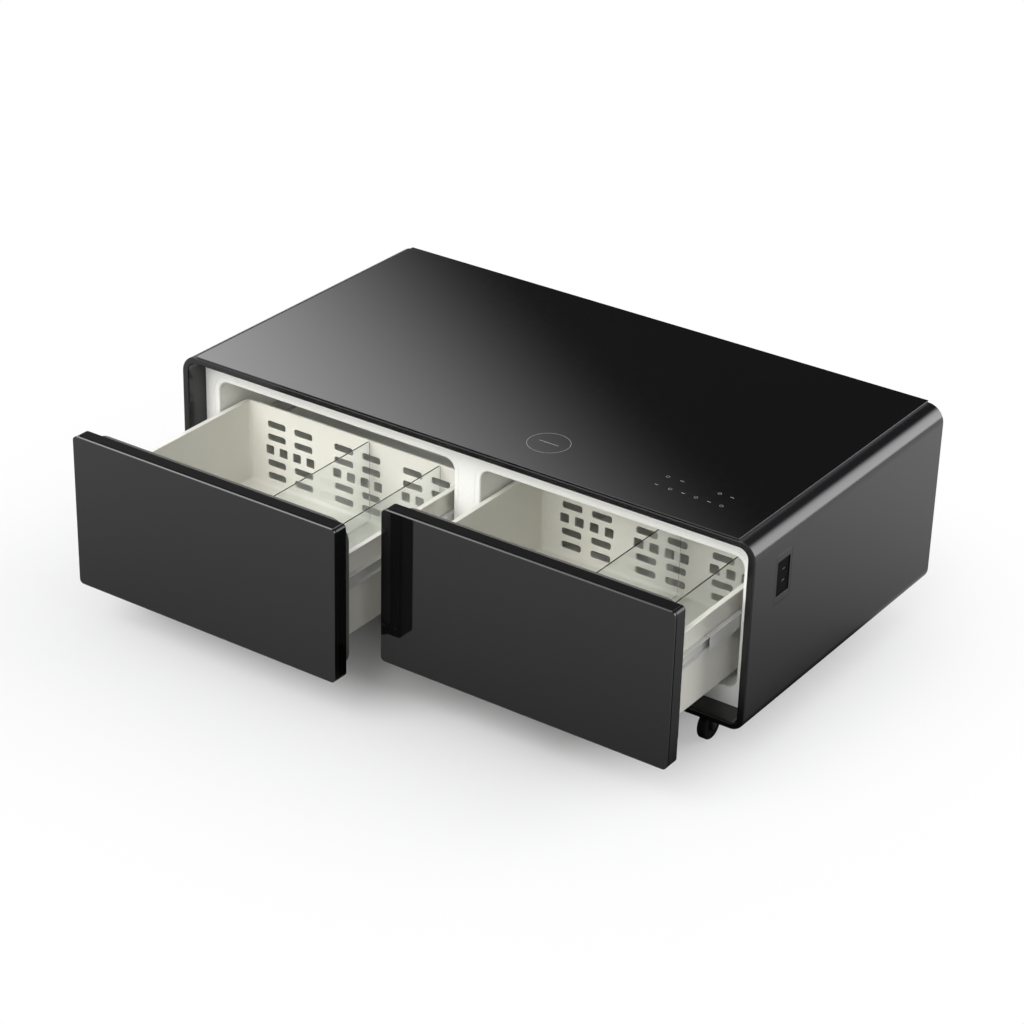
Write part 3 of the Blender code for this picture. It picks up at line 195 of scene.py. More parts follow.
# Rear panel and mains inlet
PANEL_EDGE = 0.0008
VENT_CENTRES_X = (0.640, 0.960)
VENT_LENGTH = 0.120
VENT_WIDTH = 0.006
VENT_PITCH = 0.018
VENTS_PER_GROUP = 12
VENT_RADIUS = 0.0028
PANEL_SCREW_INSET = 0.018
PANEL_SCREWS = 5
INLET_EDGE = 0.0005
INLET_FLANGE = 0.006
INLET_RADIUS = 0.003

# Casters
WHEEL_TYRE_DEPTH = 0.009
WHEEL_FACE_INSET = 0.001
WHEEL_DISH = 0.0016
HUB_EDGE = 0.0006
TREAD_GROOVES = 3
TREAD_PITCH = 0.0035
TREAD_GROOVE = 0.0008
WHEEL_EDGE = 0.003
WHEEL_HUB_RADIUS = 0.012
AXLE_RADIUS = 0.0033
STEEL_EDGE = 0.0006
MOULDED_EDGE = 0.0003

# Nodes that keep their shape, with the finish of each
PLAIN_NODES = {
    "insulation": "foam",
    "condenser": "aluminium",
    "control_board": "solder_mask",
    "touch_board": "solder_mask",
    "charging_coil": "copper",
    "discharge_pipe": "copper",
    "suction_pipe": "copper",
}

# Studio
FLOOR_COLOUR = (0.76, 0.76, 0.765)
# What the floor gives back to the object
FLOOR_BOUNCE_COLOUR = (0.27, 0.27, 0.27)
FLOOR_ROUGHNESS = 0.9
FLOOR_SIZE = 80.0
# Shade on the floor round a box: middle, half size, reach, and how fast it fades
SEEN_SHADE = ((-0.12, -0.06, 0.0), (0.46, 0.27, 0.0), 0.90, 2.0)
# In reflections the floor is white light alone, and the two below paint its shade in: darker round
# the cabinet, and darker still at its foot.
MIRRORED_SHADE = ((0.0, 0.0, 0.0), (0.50, 0.10, 0.0), 1.80, 2.0)
MIRRORED_FOOT_SHADE = ((0.0, 0.0, 0.0), (0.645, 0.345, 0.0), 0.12, 1.0)
# World light, as direction, from where to where it fades in, and dim and bright level. What
# is called mirrored shows in polished surfaces alone, and the right softbox lights all.
FILL_LIGHT = ((180.0, 70.0), (-0.2, 0.9), (0.14, 0.62))
KEY_LIGHT = ((190.0, 36.0), (0.82, 0.97), (0.0, 5.2))
RIGHT_SOFTBOX = ((36.0, 13.0), (0.86, 0.995), (0.0, 5.0))
MIRRORED_DOME = ((180.0, 53.0), (-0.05, 0.35), (0.045, 0.60))
MIRRORED_FRONT = ((227.0, 47.0), (0.88, 0.98), (0.0, 3.5))
MIRRORED_LEFT = ((-38.0, 30.0), (0.9135, 0.974), (0.0, 3.0))
# The left softbox has a straight slanting edge
SOFTBOX_EDGE = (-35.3, 26.2)
SOFTBOX_TILT = 46.3
SOFTBOX_RAMP = (-0.055, 0.075)
CAMERA_ANGLES = (34.151, 27.727, 1.607)
CAMERA_PLACE = (3.3882, -3.8323, 2.7181)
CAMERA_LENS = 100.54
CAMERA_SENSOR = 36.0

# Spread of a noise texture's values, and its detail in the colour and in the grain
NOISE_RANGE = (0.3, 0.7)
BROAD_DETAIL = 4.0
GRAIN_DETAIL = 2.0

# Fineness
MERGE_DISTANCE = 0.00001
SHARP_ANGLE = 30
FLAT_ANGLE = 1
BEVEL_SEGMENTS = 2
LEVEL_WEIGHT = 100
FINE_CORNER = 20
SMALL_CORNER = 8
EDGE_STEPS = 4
ROUND_SEGMENTS = 64
SMALL_SEGMENTS = 24


# Materials
class Look:
    """A material with a Principled shader, and short ways to add what drives it."""

    def __init__(self, name):
        self.material = bpy.data.materials.new(name)
        self.material.use_nodes = True
        self.tree = self.material.node_tree
        self.shader = self.tree.nodes["Principled BSDF"]

    def add(self, kind, **values):
        node = self.tree.nodes.new(kind)
        for key, value in values.items():
            setattr(node, key, value)
        return node

    def link(self, source, target):
        self.tree.links.new(source, target)

    def noise(self, scale, detail, stretch):
        coordinates = self.add("ShaderNodeTexCoord")
        mapping = self.add("ShaderNodeMapping")
        mapping.inputs["Scale"].default_value = stretch
        self.link(coordinates.outputs["Object"], mapping.inputs["Vector"])
        noise = self.add("ShaderNodeTexNoise")
        noise.inputs["Scale"].default_value = scale
        noise.inputs["Detail"].default_value = detail
        self.link(mapping.outputs["Vector"], noise.inputs["Vector"])
        return noise.outputs["Fac"]

    def ranged(self, source, low, high):
        shape = self.add("ShaderNodeMapRange")
        shape.inputs["From Min"].default_value = NOISE_RANGE[0]
        shape.inputs["From Max"].default_value = NOISE_RANGE[1]
        shape.inputs["To Min"].default_value = low
        shape.inputs["To Max"].default_value = high
        self.link(source, shape.inputs["Value"])
        return shape.outputs["Result"]

    def mixed(self, source, first, second, target):
        """A colour between first and second, led to a socket of the shader."""
        mix = self.add("ShaderNodeMix", data_type="RGBA")
        mix.inputs["A"].default_value = (*first, 1.0)
        mix.inputs["B"].default_value = (*second, 1.0)
        self.link(source, mix.inputs["Factor"])
        self.link(mix.outputs["Result"], self.shader.inputs[target])

    def bump(self, source, strength, distance):
        bump = self.add("ShaderNodeBump")
        bump.inputs["Strength"].default_value = strength
        bump.inputs["Distance"].default_value = distance
        self.link(source, bump.inputs["Height"])
        self.link(bump.outputs["Normal"], self.shader.inputs["Normal"])


def make_finish(name, colour, roughness, metallic=0.0, mottle=0.05, wear=0.03, scale=9,
                grain=(500, 0.05, 0.0002), stretch=(1, 1, 1), **fixed):
    """A finish whose colour and gloss vary softly, over a fine grain."""
    look = Look(name)
    broad = look.ranged(look.noise(scale, BROAD_DETAIL, stretch), 0.0, 1.0)
    darker = [channel * (1 - mottle) for channel in colour]
    lighter = [channel * (1 + mottle) for channel in colour]
    look.mixed(broad, darker, lighter, "Base Color")
    fine_scale, strength, distance = grain
    fine = look.noise(fine_scale, GRAIN_DETAIL, stretch)
    look.link(look.ranged(fine, roughness - wear, roughness + wear), look.shader.inputs["Roughness"])
    look.bump(fine, strength, distance)
    look.shader.inputs["Metallic"].default_value = metallic
    for key, value in fixed.items():
        look.shader.inputs[key.replace("_", " ")].default_value = value
    return look.material


FINISHES = {
    "lacquer": make_finish(
        "lacquer", (0.0042, 0.0041, 0.0052), 0.19, scale=5, grain=(900, 0.02, 0.0001), IOR=1.5
    ),
    "top_glass": make_finish(
        "top_glass", (0.0025, 0.0025, 0.0028), 0.045, wear=0.012, scale=4, grain=(60, 0.004, 0.0001),
        IOR=1.5
    ),
    "front_glass": make_finish(
        "front_glass", (0.004, 0.004, 0.0045), 0.045, wear=0.015, scale=5, grain=(60, 0.004, 0.0001),
        IOR=1.5
    ),
    "door_body": make_finish(
        "door_body", (0.003, 0.003, 0.0035), 0.09, grain=(1400, 0.03, 0.0001),
        Specular_IOR_Level=0.30
    ),
    "white_gloss": make_finish(
        "white_gloss", (0.90, 0.90, 0.865), 0.28, mottle=0.012, wear=0.04, grain=(900, 0.03, 0.0002)
    ),
    "bin_white": make_finish(
        "bin_white", (0.82, 0.81, 0.74), 0.25, mottle=0.012, wear=0.04, grain=(1200, 0.03, 0.0002)
    ),
    "white_powder": make_finish(
        "white_powder", (0.62, 0.62, 0.60), 0.42, mottle=0.03, grain=(2600, 0.12, 0.0002)
    ),
    "zinc": make_finish(
        "zinc", (0.66, 0.66, 0.65), 0.38, metallic=1.0, mottle=0.12, wear=0.08, scale=120,
        grain=(900, 0.1, 0.0001), stretch=(1, 0.08, 1)
    ),
    "gasket": make_finish(
        "gasket", (0.09, 0.09, 0.085), 0.62, mottle=0.08, grain=(1800, 0.2, 0.0003)
    ),
    "tyre": make_finish(
        "tyre", (0.004, 0.004, 0.004), 0.60, mottle=0.25, scale=40, grain=(1500, 0.3, 0.0004),
        Specular_IOR_Level=0.15
    ),
    "black_steel": make_finish(
        "black_steel", (0.020, 0.020, 0.021), 0.42, mottle=0.15, scale=30,
        grain=(2200, 0.18, 0.0002)
    ),
    "panel_black": make_finish(
        "panel_black", (0.022, 0.022, 0.023), 0.50, mottle=0.12, scale=12,
        grain=(2400, 0.25, 0.0003)
    ),
    "black_plastic": make_finish(
        "black_plastic", (0.012, 0.012, 0.012), 0.36, mottle=0.15, grain=(1600, 0.12, 0.0002)
    ),
    "charcoal": make_finish(
        "charcoal", (0.005, 0.005, 0.0065), 0.26, mottle=0.1, grain=(1500, 0.05, 0.0001)
    ),
    "matt_black": make_finish(
        "matt_black", (0.002, 0.002, 0.002), 0.50, mottle=0.1, grain=(1500, 0.05, 0.0001),
        Specular_IOR_Level=0.04
    ),
    "socket_grey": make_finish(
        "socket_grey", (0.10, 0.10, 0.105), 0.35, mottle=0.08, grain=(900, 0.05, 0.0001)
    ),
    "print_grey": make_finish(
        "print_grey", (0.22, 0.22, 0.23), 0.30, mottle=0.08, grain=(900, 0.02, 0.0001)
    ),
    "clear": make_finish(
        "clear", (0.90, 0.93, 0.925), 0.05, mottle=0.01, wear=0.02, grain=(60, 0.02, 0.0001),
        Transmission_Weight=1.0, IOR=1.45
    ),
    "diffuser": make_finish(
        "diffuser", (0.93, 0.92, 0.87), 0.50, mottle=0.02, grain=(900, 0.1, 0.0002),
        Emission_Color=(1.0, 0.97, 0.88, 1.0), Emission_Strength=1.6
    ),
    "foam": make_finish(
        "foam", (0.74, 0.66, 0.44), 0.92, mottle=0.12, scale=60, grain=(420, 0.8, 0.001)
    ),
    "aluminium": make_finish(
        "aluminium", (0.60, 0.61, 0.63), 0.34, metallic=1.0, mottle=0.08, wear=0.08, scale=80,
        grain=(700, 0.15, 0.0001), stretch=(0.1, 1, 1)
    ),
    "copper": make_finish(
        "copper", (0.66, 0.31, 0.17), 0.30, metallic=1.0, mottle=0.15, wear=0.08, scale=70,
        grain=(900, 0.1, 0.0001)
    ),
    "solder_mask": make_finish(
        "solder_mask", (0.012, 0.105, 0.045), 0.38, mottle=0.3, scale=160,
        grain=(420, 0.3, 0.0002)
    ),
}


# Flat outlines
class RoundedBox:
    """A rectangle (low corner, high corner) with one radius below and one above."""

    def __init__(self, low, high, lower_radius, upper_radius=None, steps=SMALL_CORNER):
        self.low = low
        self.high = high
        self.lower_radius = lower_radius
        self.upper_radius = lower_radius if upper_radius is None else upper_radius
        self.steps = steps

    def grown(self, by):
        low = (self.low[0] - by, self.low[1] - by)
        high = (self.high[0] + by, self.high[1] + by)
        return RoundedBox(low, high, self.lower_radius + by, self.upper_radius + by, self.steps)

    def points(self):
        lower = self.lower_radius
        upper = self.upper_radius
        corners = (
            (self.low[0] + lower, self.low[1] + lower, lower, 180),
            (self.high[0] - lower, self.low[1] + lower, lower, 270),
            (self.high[0] - upper, self.high[1] - upper, upper, 0),
            (self.low[0] + upper, self.high[1] - upper, upper, 90),
        )
        points = []
        for centre_u, centre_v, radius, start in corners:
            points += arc(centre_u, centre_v, radius, start, start + 90, self.steps)
        return points

    def middle(self):
        return ((self.low[0] + self.high[0]) / 2, (self.low[1] + self.high[1]) / 2)


def arc(centre_u, centre_v, radius, start, end, steps):
    points = []
    for step in range(steps + 1):
        angle = math.radians(start + (end - start) * step / steps)
        points.append((centre_u + radius * math.cos(angle), centre_v + radius * math.sin(angle)))
    return points


def circle(centre, radius, segments=ROUND_SEGMENTS):
    return arc(*centre, radius, -90, 270, segments)[:-1]


def centred_box(centre, width, height, radius, steps=SMALL_CORNER):
    low = (centre[0] - width / 2, centre[1] - height / 2)
    high = (centre[0] + width / 2, centre[1] + height / 2)
    return RoundedBox(low, high, radius, steps=steps)


def spread(count, pitch):
    """Offsets from the middle of evenly spaced copies."""
    return [(index - (count - 1) / 2) * pitch for index in range(count)]


def cabinet_box(node):
    """Lowest and highest corner of a node, measured from the cabinet's corner."""
    low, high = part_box(node)
    return low - CORNER, high - CORNER


def outline_of(node, plane, lower_radius, upper_radius=None, steps=SMALL_CORNER):
    """The outline of a node's box in the plane that two letters name."""
    low, high = cabinet_box(node)
    first, second = ("XYZ".index(axis) for axis in plane)
    return RoundedBox(
        (low[first], low[second]), (high[first], high[second]), lower_radius, upper_radius, steps
    )


# Building blocks for meshes
PIECES = []


def placed(point, distance, axis):
    """A point of a flat outline, set at a distance along X, Y or Z."""
    u, v = point
    if axis == "X":
        return (distance, u, v)
    if axis == "Y":
        return (u, distance, v)
    return (u, v, distance)


def loft(mesh, stations, axis, joined=False):
    """A skin through flat outlines, each at its distance along the axis, capped or joined."""
    rows = []
    for outline, distance in stations:
        rows.append([mesh.verts.new(placed(point, distance, axis)) for point in outline])
    pairs = list(zip(rows, rows[1:]))
    if joined:
        pairs.append((rows[-1], rows[0]))
    else:
        mesh.faces.new(rows[0])
        mesh.faces.new(rows[-1])
    for near, far in pairs:
        for index in range(len(near)):
            following = (index + 1) % len(near)
            mesh.faces.new((near[index], near[following], far[following], far[index]))


def turned(mesh, profile, centre, axis, segments=ROUND_SEGMENTS, joined=False):
    """A solid of revolution: profile gives radius and distance along the axis."""
    stations = [(circle(centre, radius, segments), distance) for radius, distance in profile]
    loft(mesh, stations, axis, joined)


def quarter(edge):
    """Pairs of inset and depth along a rounded edge, from the face inwards."""
    pairs = []
    for step in range(EDGE_STEPS + 1):
        angle = math.radians(90) * step / EDGE_STEPS
        pairs.append((edge * (1 - math.sin(angle)), edge * (1 - math.cos(angle))))
    return pairs


def plate_stations(outline, near, far, near_edge=0.0, far_edge=0.0):
    """Stations of a plate from near to far, its two edges rounded inwards."""
    direction = 1 if far > near else -1
    front = []
    for inset, depth in quarter(near_edge):
        front.append((outline.grown(-inset).points(), near + direction * depth))
    back = []
    for inset, depth in reversed(quarter(far_edge)):
        back.append((outline.grown(-inset).points(), far - direction * depth))
    return tidy(front) + tidy(back)


def tidy(stations):
    """The stations without the copies that an edge of no size leaves."""
    kept = stations[:1]
    for station in stations[1:]:
        if abs(station[1] - kept[-1][1]) + math.dist(station[0][0], kept[-1][0][0]) > 0:
            kept.append(station)
    return kept


def hole_stations(outline, near, far, edge):
    """Stations of a cutter from near to far that rounds the near edge of its hole."""
    direction = 1 if far > near else -1
    stations = [(outline.grown(edge).points(), near - direction * OVERRUN)]
    for inset, depth in quarter(edge):
        stations.append((outline.grown(inset).points(), near + direction * depth))
    stations.append((outline.points(), far))
    return stations


def add_piece(name, mesh, body, finish, *nodes, slot=None):
    """An object of the finished mesh that rides on its body in place of the nodes."""
    bmesh.ops.recalc_face_normals(mesh, faces=mesh.faces)
    data = bpy.data.meshes.new(name)
    mesh.to_mesh(data)
    mesh.free()
    data.materials.append(FINISHES[finish])
    made = bpy.data.objects.new(name, data)
    bpy.context.scene.collection.objects.link(made)
    made.location = CORNER
    smooth(made)
    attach(made, body)
    if nodes:
        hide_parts(*nodes)
    PIECES.append(made)
    return made


def smooth(made):
    made.data.shade_smooth()
    made.data.set_sharp_from_angle(angle=math.radians(SHARP_ANGLE))


def apply_modifiers(made):
    """Turns the piece's modifiers into its mesh."""
    bpy.context.view_layer.update()
    graph = bpy.context.evaluated_depsgraph_get()
    data = bpy.data.meshes.new_from_object(made.evaluated_get(graph))
    made.modifiers.clear()
    made.data = data


def bake(made):
    """Turns the piece's modifiers into its mesh, shaded smooth between sharp edges."""
    apply_modifiers(made)
    smooth(made)


def carve(made, cutters, axis, joined=False):
    """Cuts hollows out of the piece, each given by its stations along the axis."""
    mesh = bmesh.new()
    for stations in cutters:
        loft(mesh, stations, axis, joined)
    bmesh.ops.recalc_face_normals(mesh, faces=mesh.faces)
    data = bpy.data.meshes.new("cutter")
    mesh.to_mesh(data)
    mesh.free()
    cutter = bpy.data.objects.new("cutter", data)
    bpy.context.scene.collection.objects.link(cutter)
    cutter.location = CORNER
    modifier = made.modifiers.new("hollows", "BOOLEAN")
    modifier.solver = "EXACT"
    modifier.object = cutter
    bake(made)
    bpy.data.objects.remove(cutter)


def level_faces(made):
    """Keeps the shading of broad flat faces flat beside their rounded edges."""
    modifier = made.modifiers.new("level_faces", "WEIGHTED_NORMAL")
    modifier.mode = "FACE_AREA"
    modifier.weight = LEVEL_WEIGHT
    modifier.keep_sharp = True
    apply_modifiers(made)


def body_of(node):
    return NODES[node]["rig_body"]


def soften(node, edge, finish):
    """A copy of a node with its edges rounded, which stands in its place."""
    mesh = bmesh.new()
    mesh.from_mesh(NODES[node].data)
    bmesh.ops.translate(mesh, verts=mesh.verts, vec=-CORNER)
    bmesh.ops.remove_doubles(mesh, verts=mesh.verts, dist=MERGE_DISTANCE)
    bmesh.ops.dissolve_limit(
        mesh, angle_limit=math.radians(FLAT_ANGLE), verts=mesh.verts, edges=mesh.edges
    )
    for face in mesh.faces:
        face.material_index = 0
    made = add_piece(f"{node}_piece", mesh, body_of(node), finish, node)
    modifier = made.modifiers.new("rounded_edges", "BEVEL")
    modifier.width = edge
    modifier.segments = BEVEL_SEGMENTS
    modifier.limit_method = "ANGLE"
    modifier.angle_limit = math.radians(SHARP_ANGLE)
    modifier.use_clamp_overlap = True
    bake(made)


def dress(node, finish):
    """Gives a node that keeps its shape its material."""
    data = NODES[node].data
    data.materials.clear()
    data.materials.append(FINISHES[finish])


# Shell and glass top
def plate_outline(node):
    """The outline of a plate that fits inside the shell."""
    return outline_of(
        node,
        "XZ",
        BOTTOM_CORNER_RADIUS - SIDE_WALL - FRAME_GAP,
        TOP_CORNER_RADIUS - SIDE_WALL - FRAME_GAP,
        FINE_CORNER,
    )


def make_shell():
    outside = outline_of(
        "outer_shell", "XZ", BOTTOM_CORNER_RADIUS, TOP_CORNER_RADIUS, FINE_CORNER
    )
    low, high = cabinet_box("outer_shell")
    inside = RoundedBox(
        (outside.low[0] + SIDE_WALL, outside.low[1] + BOTTOM_WALL),
        (outside.high[0] - SIDE_WALL, outside.high[1] - TOP_WALL),
        BOTTOM_CORNER_RADIUS - SIDE_WALL,
        TOP_CORNER_RADIUS - SIDE_WALL,
        FINE_CORNER,
    )
    stations = plate_stations(outside, low.y, high.y, RIM_ROUND, BACK_ROUND)
    hollow = []
    for inset, depth in quarter(RIM_ROUND):
        hollow.append((inside.grown(inset).points(), low.y + depth))
    for inset, depth in reversed(quarter(BACK_ROUND)):
        hollow.append((inside.grown(inset).points(), high.y - depth))
    mesh = bmesh.new()
    loft(mesh, stations + hollow[::-1], "Y", joined=True)
    shell = add_piece("shell", mesh, "cabinet", "lacquer", "outer_shell")
    seat = outline_of("port_module", "YZ", PORT_FLANGE_RADIUS).grown(FRAME_GAP)
    port_low, port_high = cabinet_box("port_module")
    beyond = port_high.x + OVERRUN
    body = port_body_outline().grown(FRAME_GAP)
    carve(shell, [[(body.points(), port_low.x - 2 * OVERRUN), (body.points(), beyond)]], "X")
    carve(shell, [[(seat.points(), port_high.x - PORT_SEAT_DEPTH), (seat.points(), beyond)]], "X")


def make_glass_top():
    low, high = cabinet_box("glass_top")
    outline = outline_of("glass_top", "XY", GLASS_CORNER)
    mesh = bmesh.new()
    top = high.z - PRINT_THICKNESS
    loft(mesh, plate_stations(outline, low.z, top, 0.0, GLASS_EDGE), "Z")
    add_piece("glass_sheet", mesh, "cabinet", "top_glass", "glass_top")
    mesh = bmesh.new()
    add_ring(mesh, RING_CENTRE, RING_RADIUS, RING_LINE, top, high.z)
    dash = centred_box(RING_CENTRE, DASH_LENGTH, DASH_WIDTH, DASH_WIDTH / 2)
    loft(mesh, [(dash.points(), top), (dash.points(), high.z)], "Z")
    add_piece("charging_mark", mesh, "cabinet", "print_grey", slot="glass_top")
    mesh = bmesh.new()
    for row, (centre_y, columns) in enumerate((KEY_FRONT_ROW, KEY_BACK_ROW)):
        for number, centre_x in enumerate(columns):
            if (number + row) % 2:
                add_ring(mesh, (centre_x, centre_y), KEY_RADIUS, KEY_LINE, top, high.z)
            else:
                bar = centred_box((centre_x, centre_y), KEY_BAR, 2 * KEY_LINE, KEY_LINE)
                loft(mesh, [(bar.points(), top), (bar.points(), high.z)], "Z")
    add_piece("touch_marks", mesh, "cabinet", "print_grey", slot="glass_top")


def add_ring(mesh, centre, radius, line, bottom, top):
    """A thin printed ring, whose line lies inside the radius."""
    inner = radius - line
    profile = [(radius, bottom), (radius, top), (inner, top), (inner, bottom)]
    turned(mesh, profile, centre, "Z", joined=True)


# Port module
def port_body_outline():
    centre = outline_of("port_module", "YZ", PORT_RADIUS).middle()
    margin = 2 * PORT_BODY_MARGIN
    return centred_box(centre, PORT_WIDTH + margin, PORT_HEIGHT + margin, PORT_RADIUS)


def make_port_module():
    low, high = cabinet_box("port_module")
    flange = outline_of("port_module", "YZ", PORT_FLANGE_RADIUS)
    centre = flange.middle()
    recess = centred_box(centre, PORT_WIDTH, PORT_HEIGHT, PORT_RADIUS)
    body = port_body_outline()
    flange_back = high.x - PORT_FLANGE_THICKNESS
    stations = [(body.points(), low.x), (body.points(), flange_back)]
    stations += plate_stations(flange, flange_back, high.x, 0.0, PORT_FLANGE_EDGE)
    for inset, depth in quarter(PORT_FLANGE_EDGE):
        stations.append((recess.grown(inset).points(), high.x - depth))
    stations.append((recess.points(), high.x - PORT_RECESS_DEPTH))
    mesh = bmesh.new()
    loft(mesh, stations, "X")
    bezel = add_piece("port_bezel", mesh, "cabinet", "charcoal", "port_module")
    floor = high.x - PORT_RECESS_DEPTH - SOCKET_DEPTH
    face = high.x - PORT_RECESS_DEPTH
    sockets = [socket_outline(centre, side) for side in (-1, 1)]
    cutters = [hole_stations(socket, face, floor, SOCKET_EDGE) for socket in sockets]
    carve(bezel, cutters, "X")
    mesh = bmesh.new()
    inset = recess.grown(-PORT_INSET_GAP)
    near = face + PORT_INSET_THICKNESS
    loft(mesh, plate_stations(inset, face, near, 0.0, PORT_INSET_EDGE), "X")
    plate = add_piece("port_inset", mesh, "cabinet", "matt_black", slot="port_module")
    cutters = [hole_stations(socket, near, face - OVERRUN, SOCKET_EDGE) for socket in sockets]
    carve(plate, cutters, "X")
    mesh = bmesh.new()
    for socket in sockets:
        tongue = centred_box(
            socket.middle(), SOCKET_WIDTH - 2 * TONGUE_MARGIN, TONGUE_HEIGHT, TONGUE_CORNER
        )
        loft(mesh, plate_stations(tongue, floor, near - TONGUE_SETBACK, 0.0, TONGUE_EDGE), "X")
    add_piece("port_tongues", mesh, "cabinet", "socket_grey", slot="port_module")


def socket_outline(centre, side):
    place = (centre[0] + SOCKET_OFFSET_Y, centre[1] + side * SOCKET_PITCH / 2)
    return centred_box(place, SOCKET_WIDTH, SOCKET_HEIGHT, SOCKET_RADIUS)


# Face frame, liners and lights
def liner_outline(side):
    return outline_of(f"{side}_liner", "XZ", OPENING_RADIUS + LINER_WALL, steps=FINE_CORNER)


def opening_of(side):
    """The opening in front of a liner, which is the liner's inside."""
    return liner_outline(side).grown(-LINER_WALL)


def make_face_frame():
    low, high = cabinet_box("face_frame")
    mesh = bmesh.new()
    loft(mesh, plate_stations(plate_outline("face_frame"), low.y, high.y), "Y")
    surround = add_piece("face_surround", mesh, "cabinet", "white_gloss", "face_frame")
    openings = [opening_of(side) for side in SIDES]
    far = high.y + OVERRUN
    carve(surround, [hole_stations(opening, low.y, far, FRAME_EDGE) for opening in openings], "Y")
    for opening in openings:
        outer = opening.grown(GROOVE_INSET + GROOVE_WIDTH).points()
        inner = opening.grown(GROOVE_INSET).points()
        near = low.y - OVERRUN
        floor = low.y + GROOVE_DEPTH
        groove = [(outer, near), (outer, floor), (inner, floor), (inner, near)]
        carve(surround, [groove], "Y", joined=True)


def make_liner(side):
    low, high = cabinet_box(f"{side}_liner")
    outer = liner_outline(side)
    inner = opening_of(side)
    back = high.y - LINER_WALL
    stations = [(outer.points(), high.y), (outer.points(), low.y), (inner.points(), low.y)]
    for inset, depth in reversed(quarter(LINER_FILLET)):
        stations.append((inner.grown(-inset).points(), back - depth))
    mesh = bmesh.new()
    loft(mesh, stations, "Y")
    liner = add_piece(f"{side}_inner_wall", mesh, "cabinet", "white_gloss", f"{side}_liner")
    centre = outer.middle()
    cutters = []
    for outline in spider_holes(centre) + [circle(centre, PIN_HOLE_RADIUS, SMALL_SEGMENTS)]:
        cutters.append([(outline, back - OVERRUN), (outline, high.y + OVERRUN)])
    carve(liner, cutters, "Y")
    mesh = bmesh.new()
    for radius in GUARD_RADII:
        guard = [
            (radius + GUARD_WIRE, back - GUARD_WIRE),
            (radius + GUARD_WIRE, back),
            (radius - GUARD_WIRE, back),
            (radius - GUARD_WIRE, back - GUARD_WIRE),
        ]
        turned(mesh, guard, centre, "Y", joined=True)
    add_piece(f"{side}_fan_guard", mesh, "cabinet", "white_gloss", slot=f"{side}_liner")


def spider_holes(centre):
    """Air passages round a disc, with the arms left between them."""
    holes = []
    sector = 360 / SPIDER_ARMS
    for number in range(SPIDER_ARMS):
        start = SPIDER_START + number * sector
        outline = []
        for radius, direction in ((FAN_BORE, 1), (SPIDER_DISC_RADIUS, -1)):
            arm = math.degrees(math.asin(SPIDER_ARM_WIDTH / 2 / radius))
            ends = (start + arm, start + sector - arm)
            outline += arc(*centre, radius, *ends[::direction], SECTOR_STEPS)
        holes.append(outline)
    return holes


def make_light(side):
    node = f"{side}_strip_light"
    low, high = cabinet_box(node)
    section = outline_of(node, "YZ", LIGHT_ROUND)
    mesh = bmesh.new()
    loft(mesh, plate_stations(section, low.x, high.x, LIGHT_END_ROUND, LIGHT_END_ROUND), "X")
    add_piece(f"{side}_light_strip", mesh, "cabinet", "diffuser", node)


# Drawers
def make_drawer_front(side):
    """The glass, and behind it the door's body with a matt strip on top and a white back."""
    body = f"{side}_drawer"
    low, high = cabinet_box(f"{side}_front_glass")
    outline = outline_of(f"{side}_front_glass", "XZ", FRONT_RADIUS, steps=FINE_CORNER)
    mesh = bmesh.new()
    loft(mesh, plate_stations(outline, low.y, high.y, FRONT_EDGE, GLASS_BACK_EDGE), "Y")
    add_piece(f"{side}_front_panel", mesh, body, "front_glass", f"{side}_front_glass")
    core = f"{side}_front_core"
    low, high = cabinet_box(core)
    front = low.y + DOOR_SEAM
    back = high.y - DOOR_PANEL_THICKNESS
    under = high.z - DOOR_STRIP_THICKNESS
    lower = RoundedBox(outline.low, (outline.high[0], under), FRONT_RADIUS, steps=FINE_CORNER)
    seam = lower.grown(-DOOR_SEAM_DEPTH).points()
    stations = [(seam, low.y), (seam, front)]
    stations += plate_stations(lower, front, back, GLASS_BACK_EDGE, CORE_EDGE)
    mesh = bmesh.new()
    loft(mesh, stations, "Y")
    add_piece(f"{side}_door_body", mesh, body, "door_body", core)
    mesh = bmesh.new()
    strip = RoundedBox(
        (low.x + FRONT_RADIUS, front + DOOR_STRIP_MARGIN),
        (high.x - FRONT_RADIUS, back - CORE_EDGE),
        DOOR_STRIP_RADIUS,
    )
    loft(mesh, plate_stations(strip, under, high.z, 0.0, DOOR_STRIP_THICKNESS / 2), "Z")
    add_piece(f"{side}_door_strip", mesh, body, "matt_black", slot=core)
    mesh = bmesh.new()
    panel = outline.grown(-DOOR_PANEL_INSET)
    loft(mesh, plate_stations(panel, back, high.y, 0.0, DOOR_PANEL_THICKNESS / 2), "Y")
    add_piece(f"{side}_door_panel", mesh, body, "white_gloss", slot=core)


def make_gasket(side):
    node = f"{side}_gasket"
    low, high = cabinet_box(node)
    outer = outline_of(node, "XZ", GASKET_RADIUS + GASKET_WIDTH, steps=FINE_CORNER)
    inner = outer.grown(-GASKET_WIDTH)
    depth = high.y - low.y
    folds = [(share, GASKET_FOLD * fold) for share, fold in GASKET_FOLD_SHARES]
    stations = [(outer.grown(-inset).points(), low.y + share * depth) for share, inset in folds]
    stations.append((outer.grown(-GASKET_LIP).points(), high.y))
    stations.append((inner.grown(GASKET_LIP).points(), high.y))
    for share, inset in reversed(folds):
        stations.append((inner.grown(inset).points(), low.y + share * depth))
    mesh = bmesh.new()
    loft(mesh, stations, "Y", joined=True)
    add_piece(f"{side}_seal", mesh, f"{side}_drawer", "gasket", node)


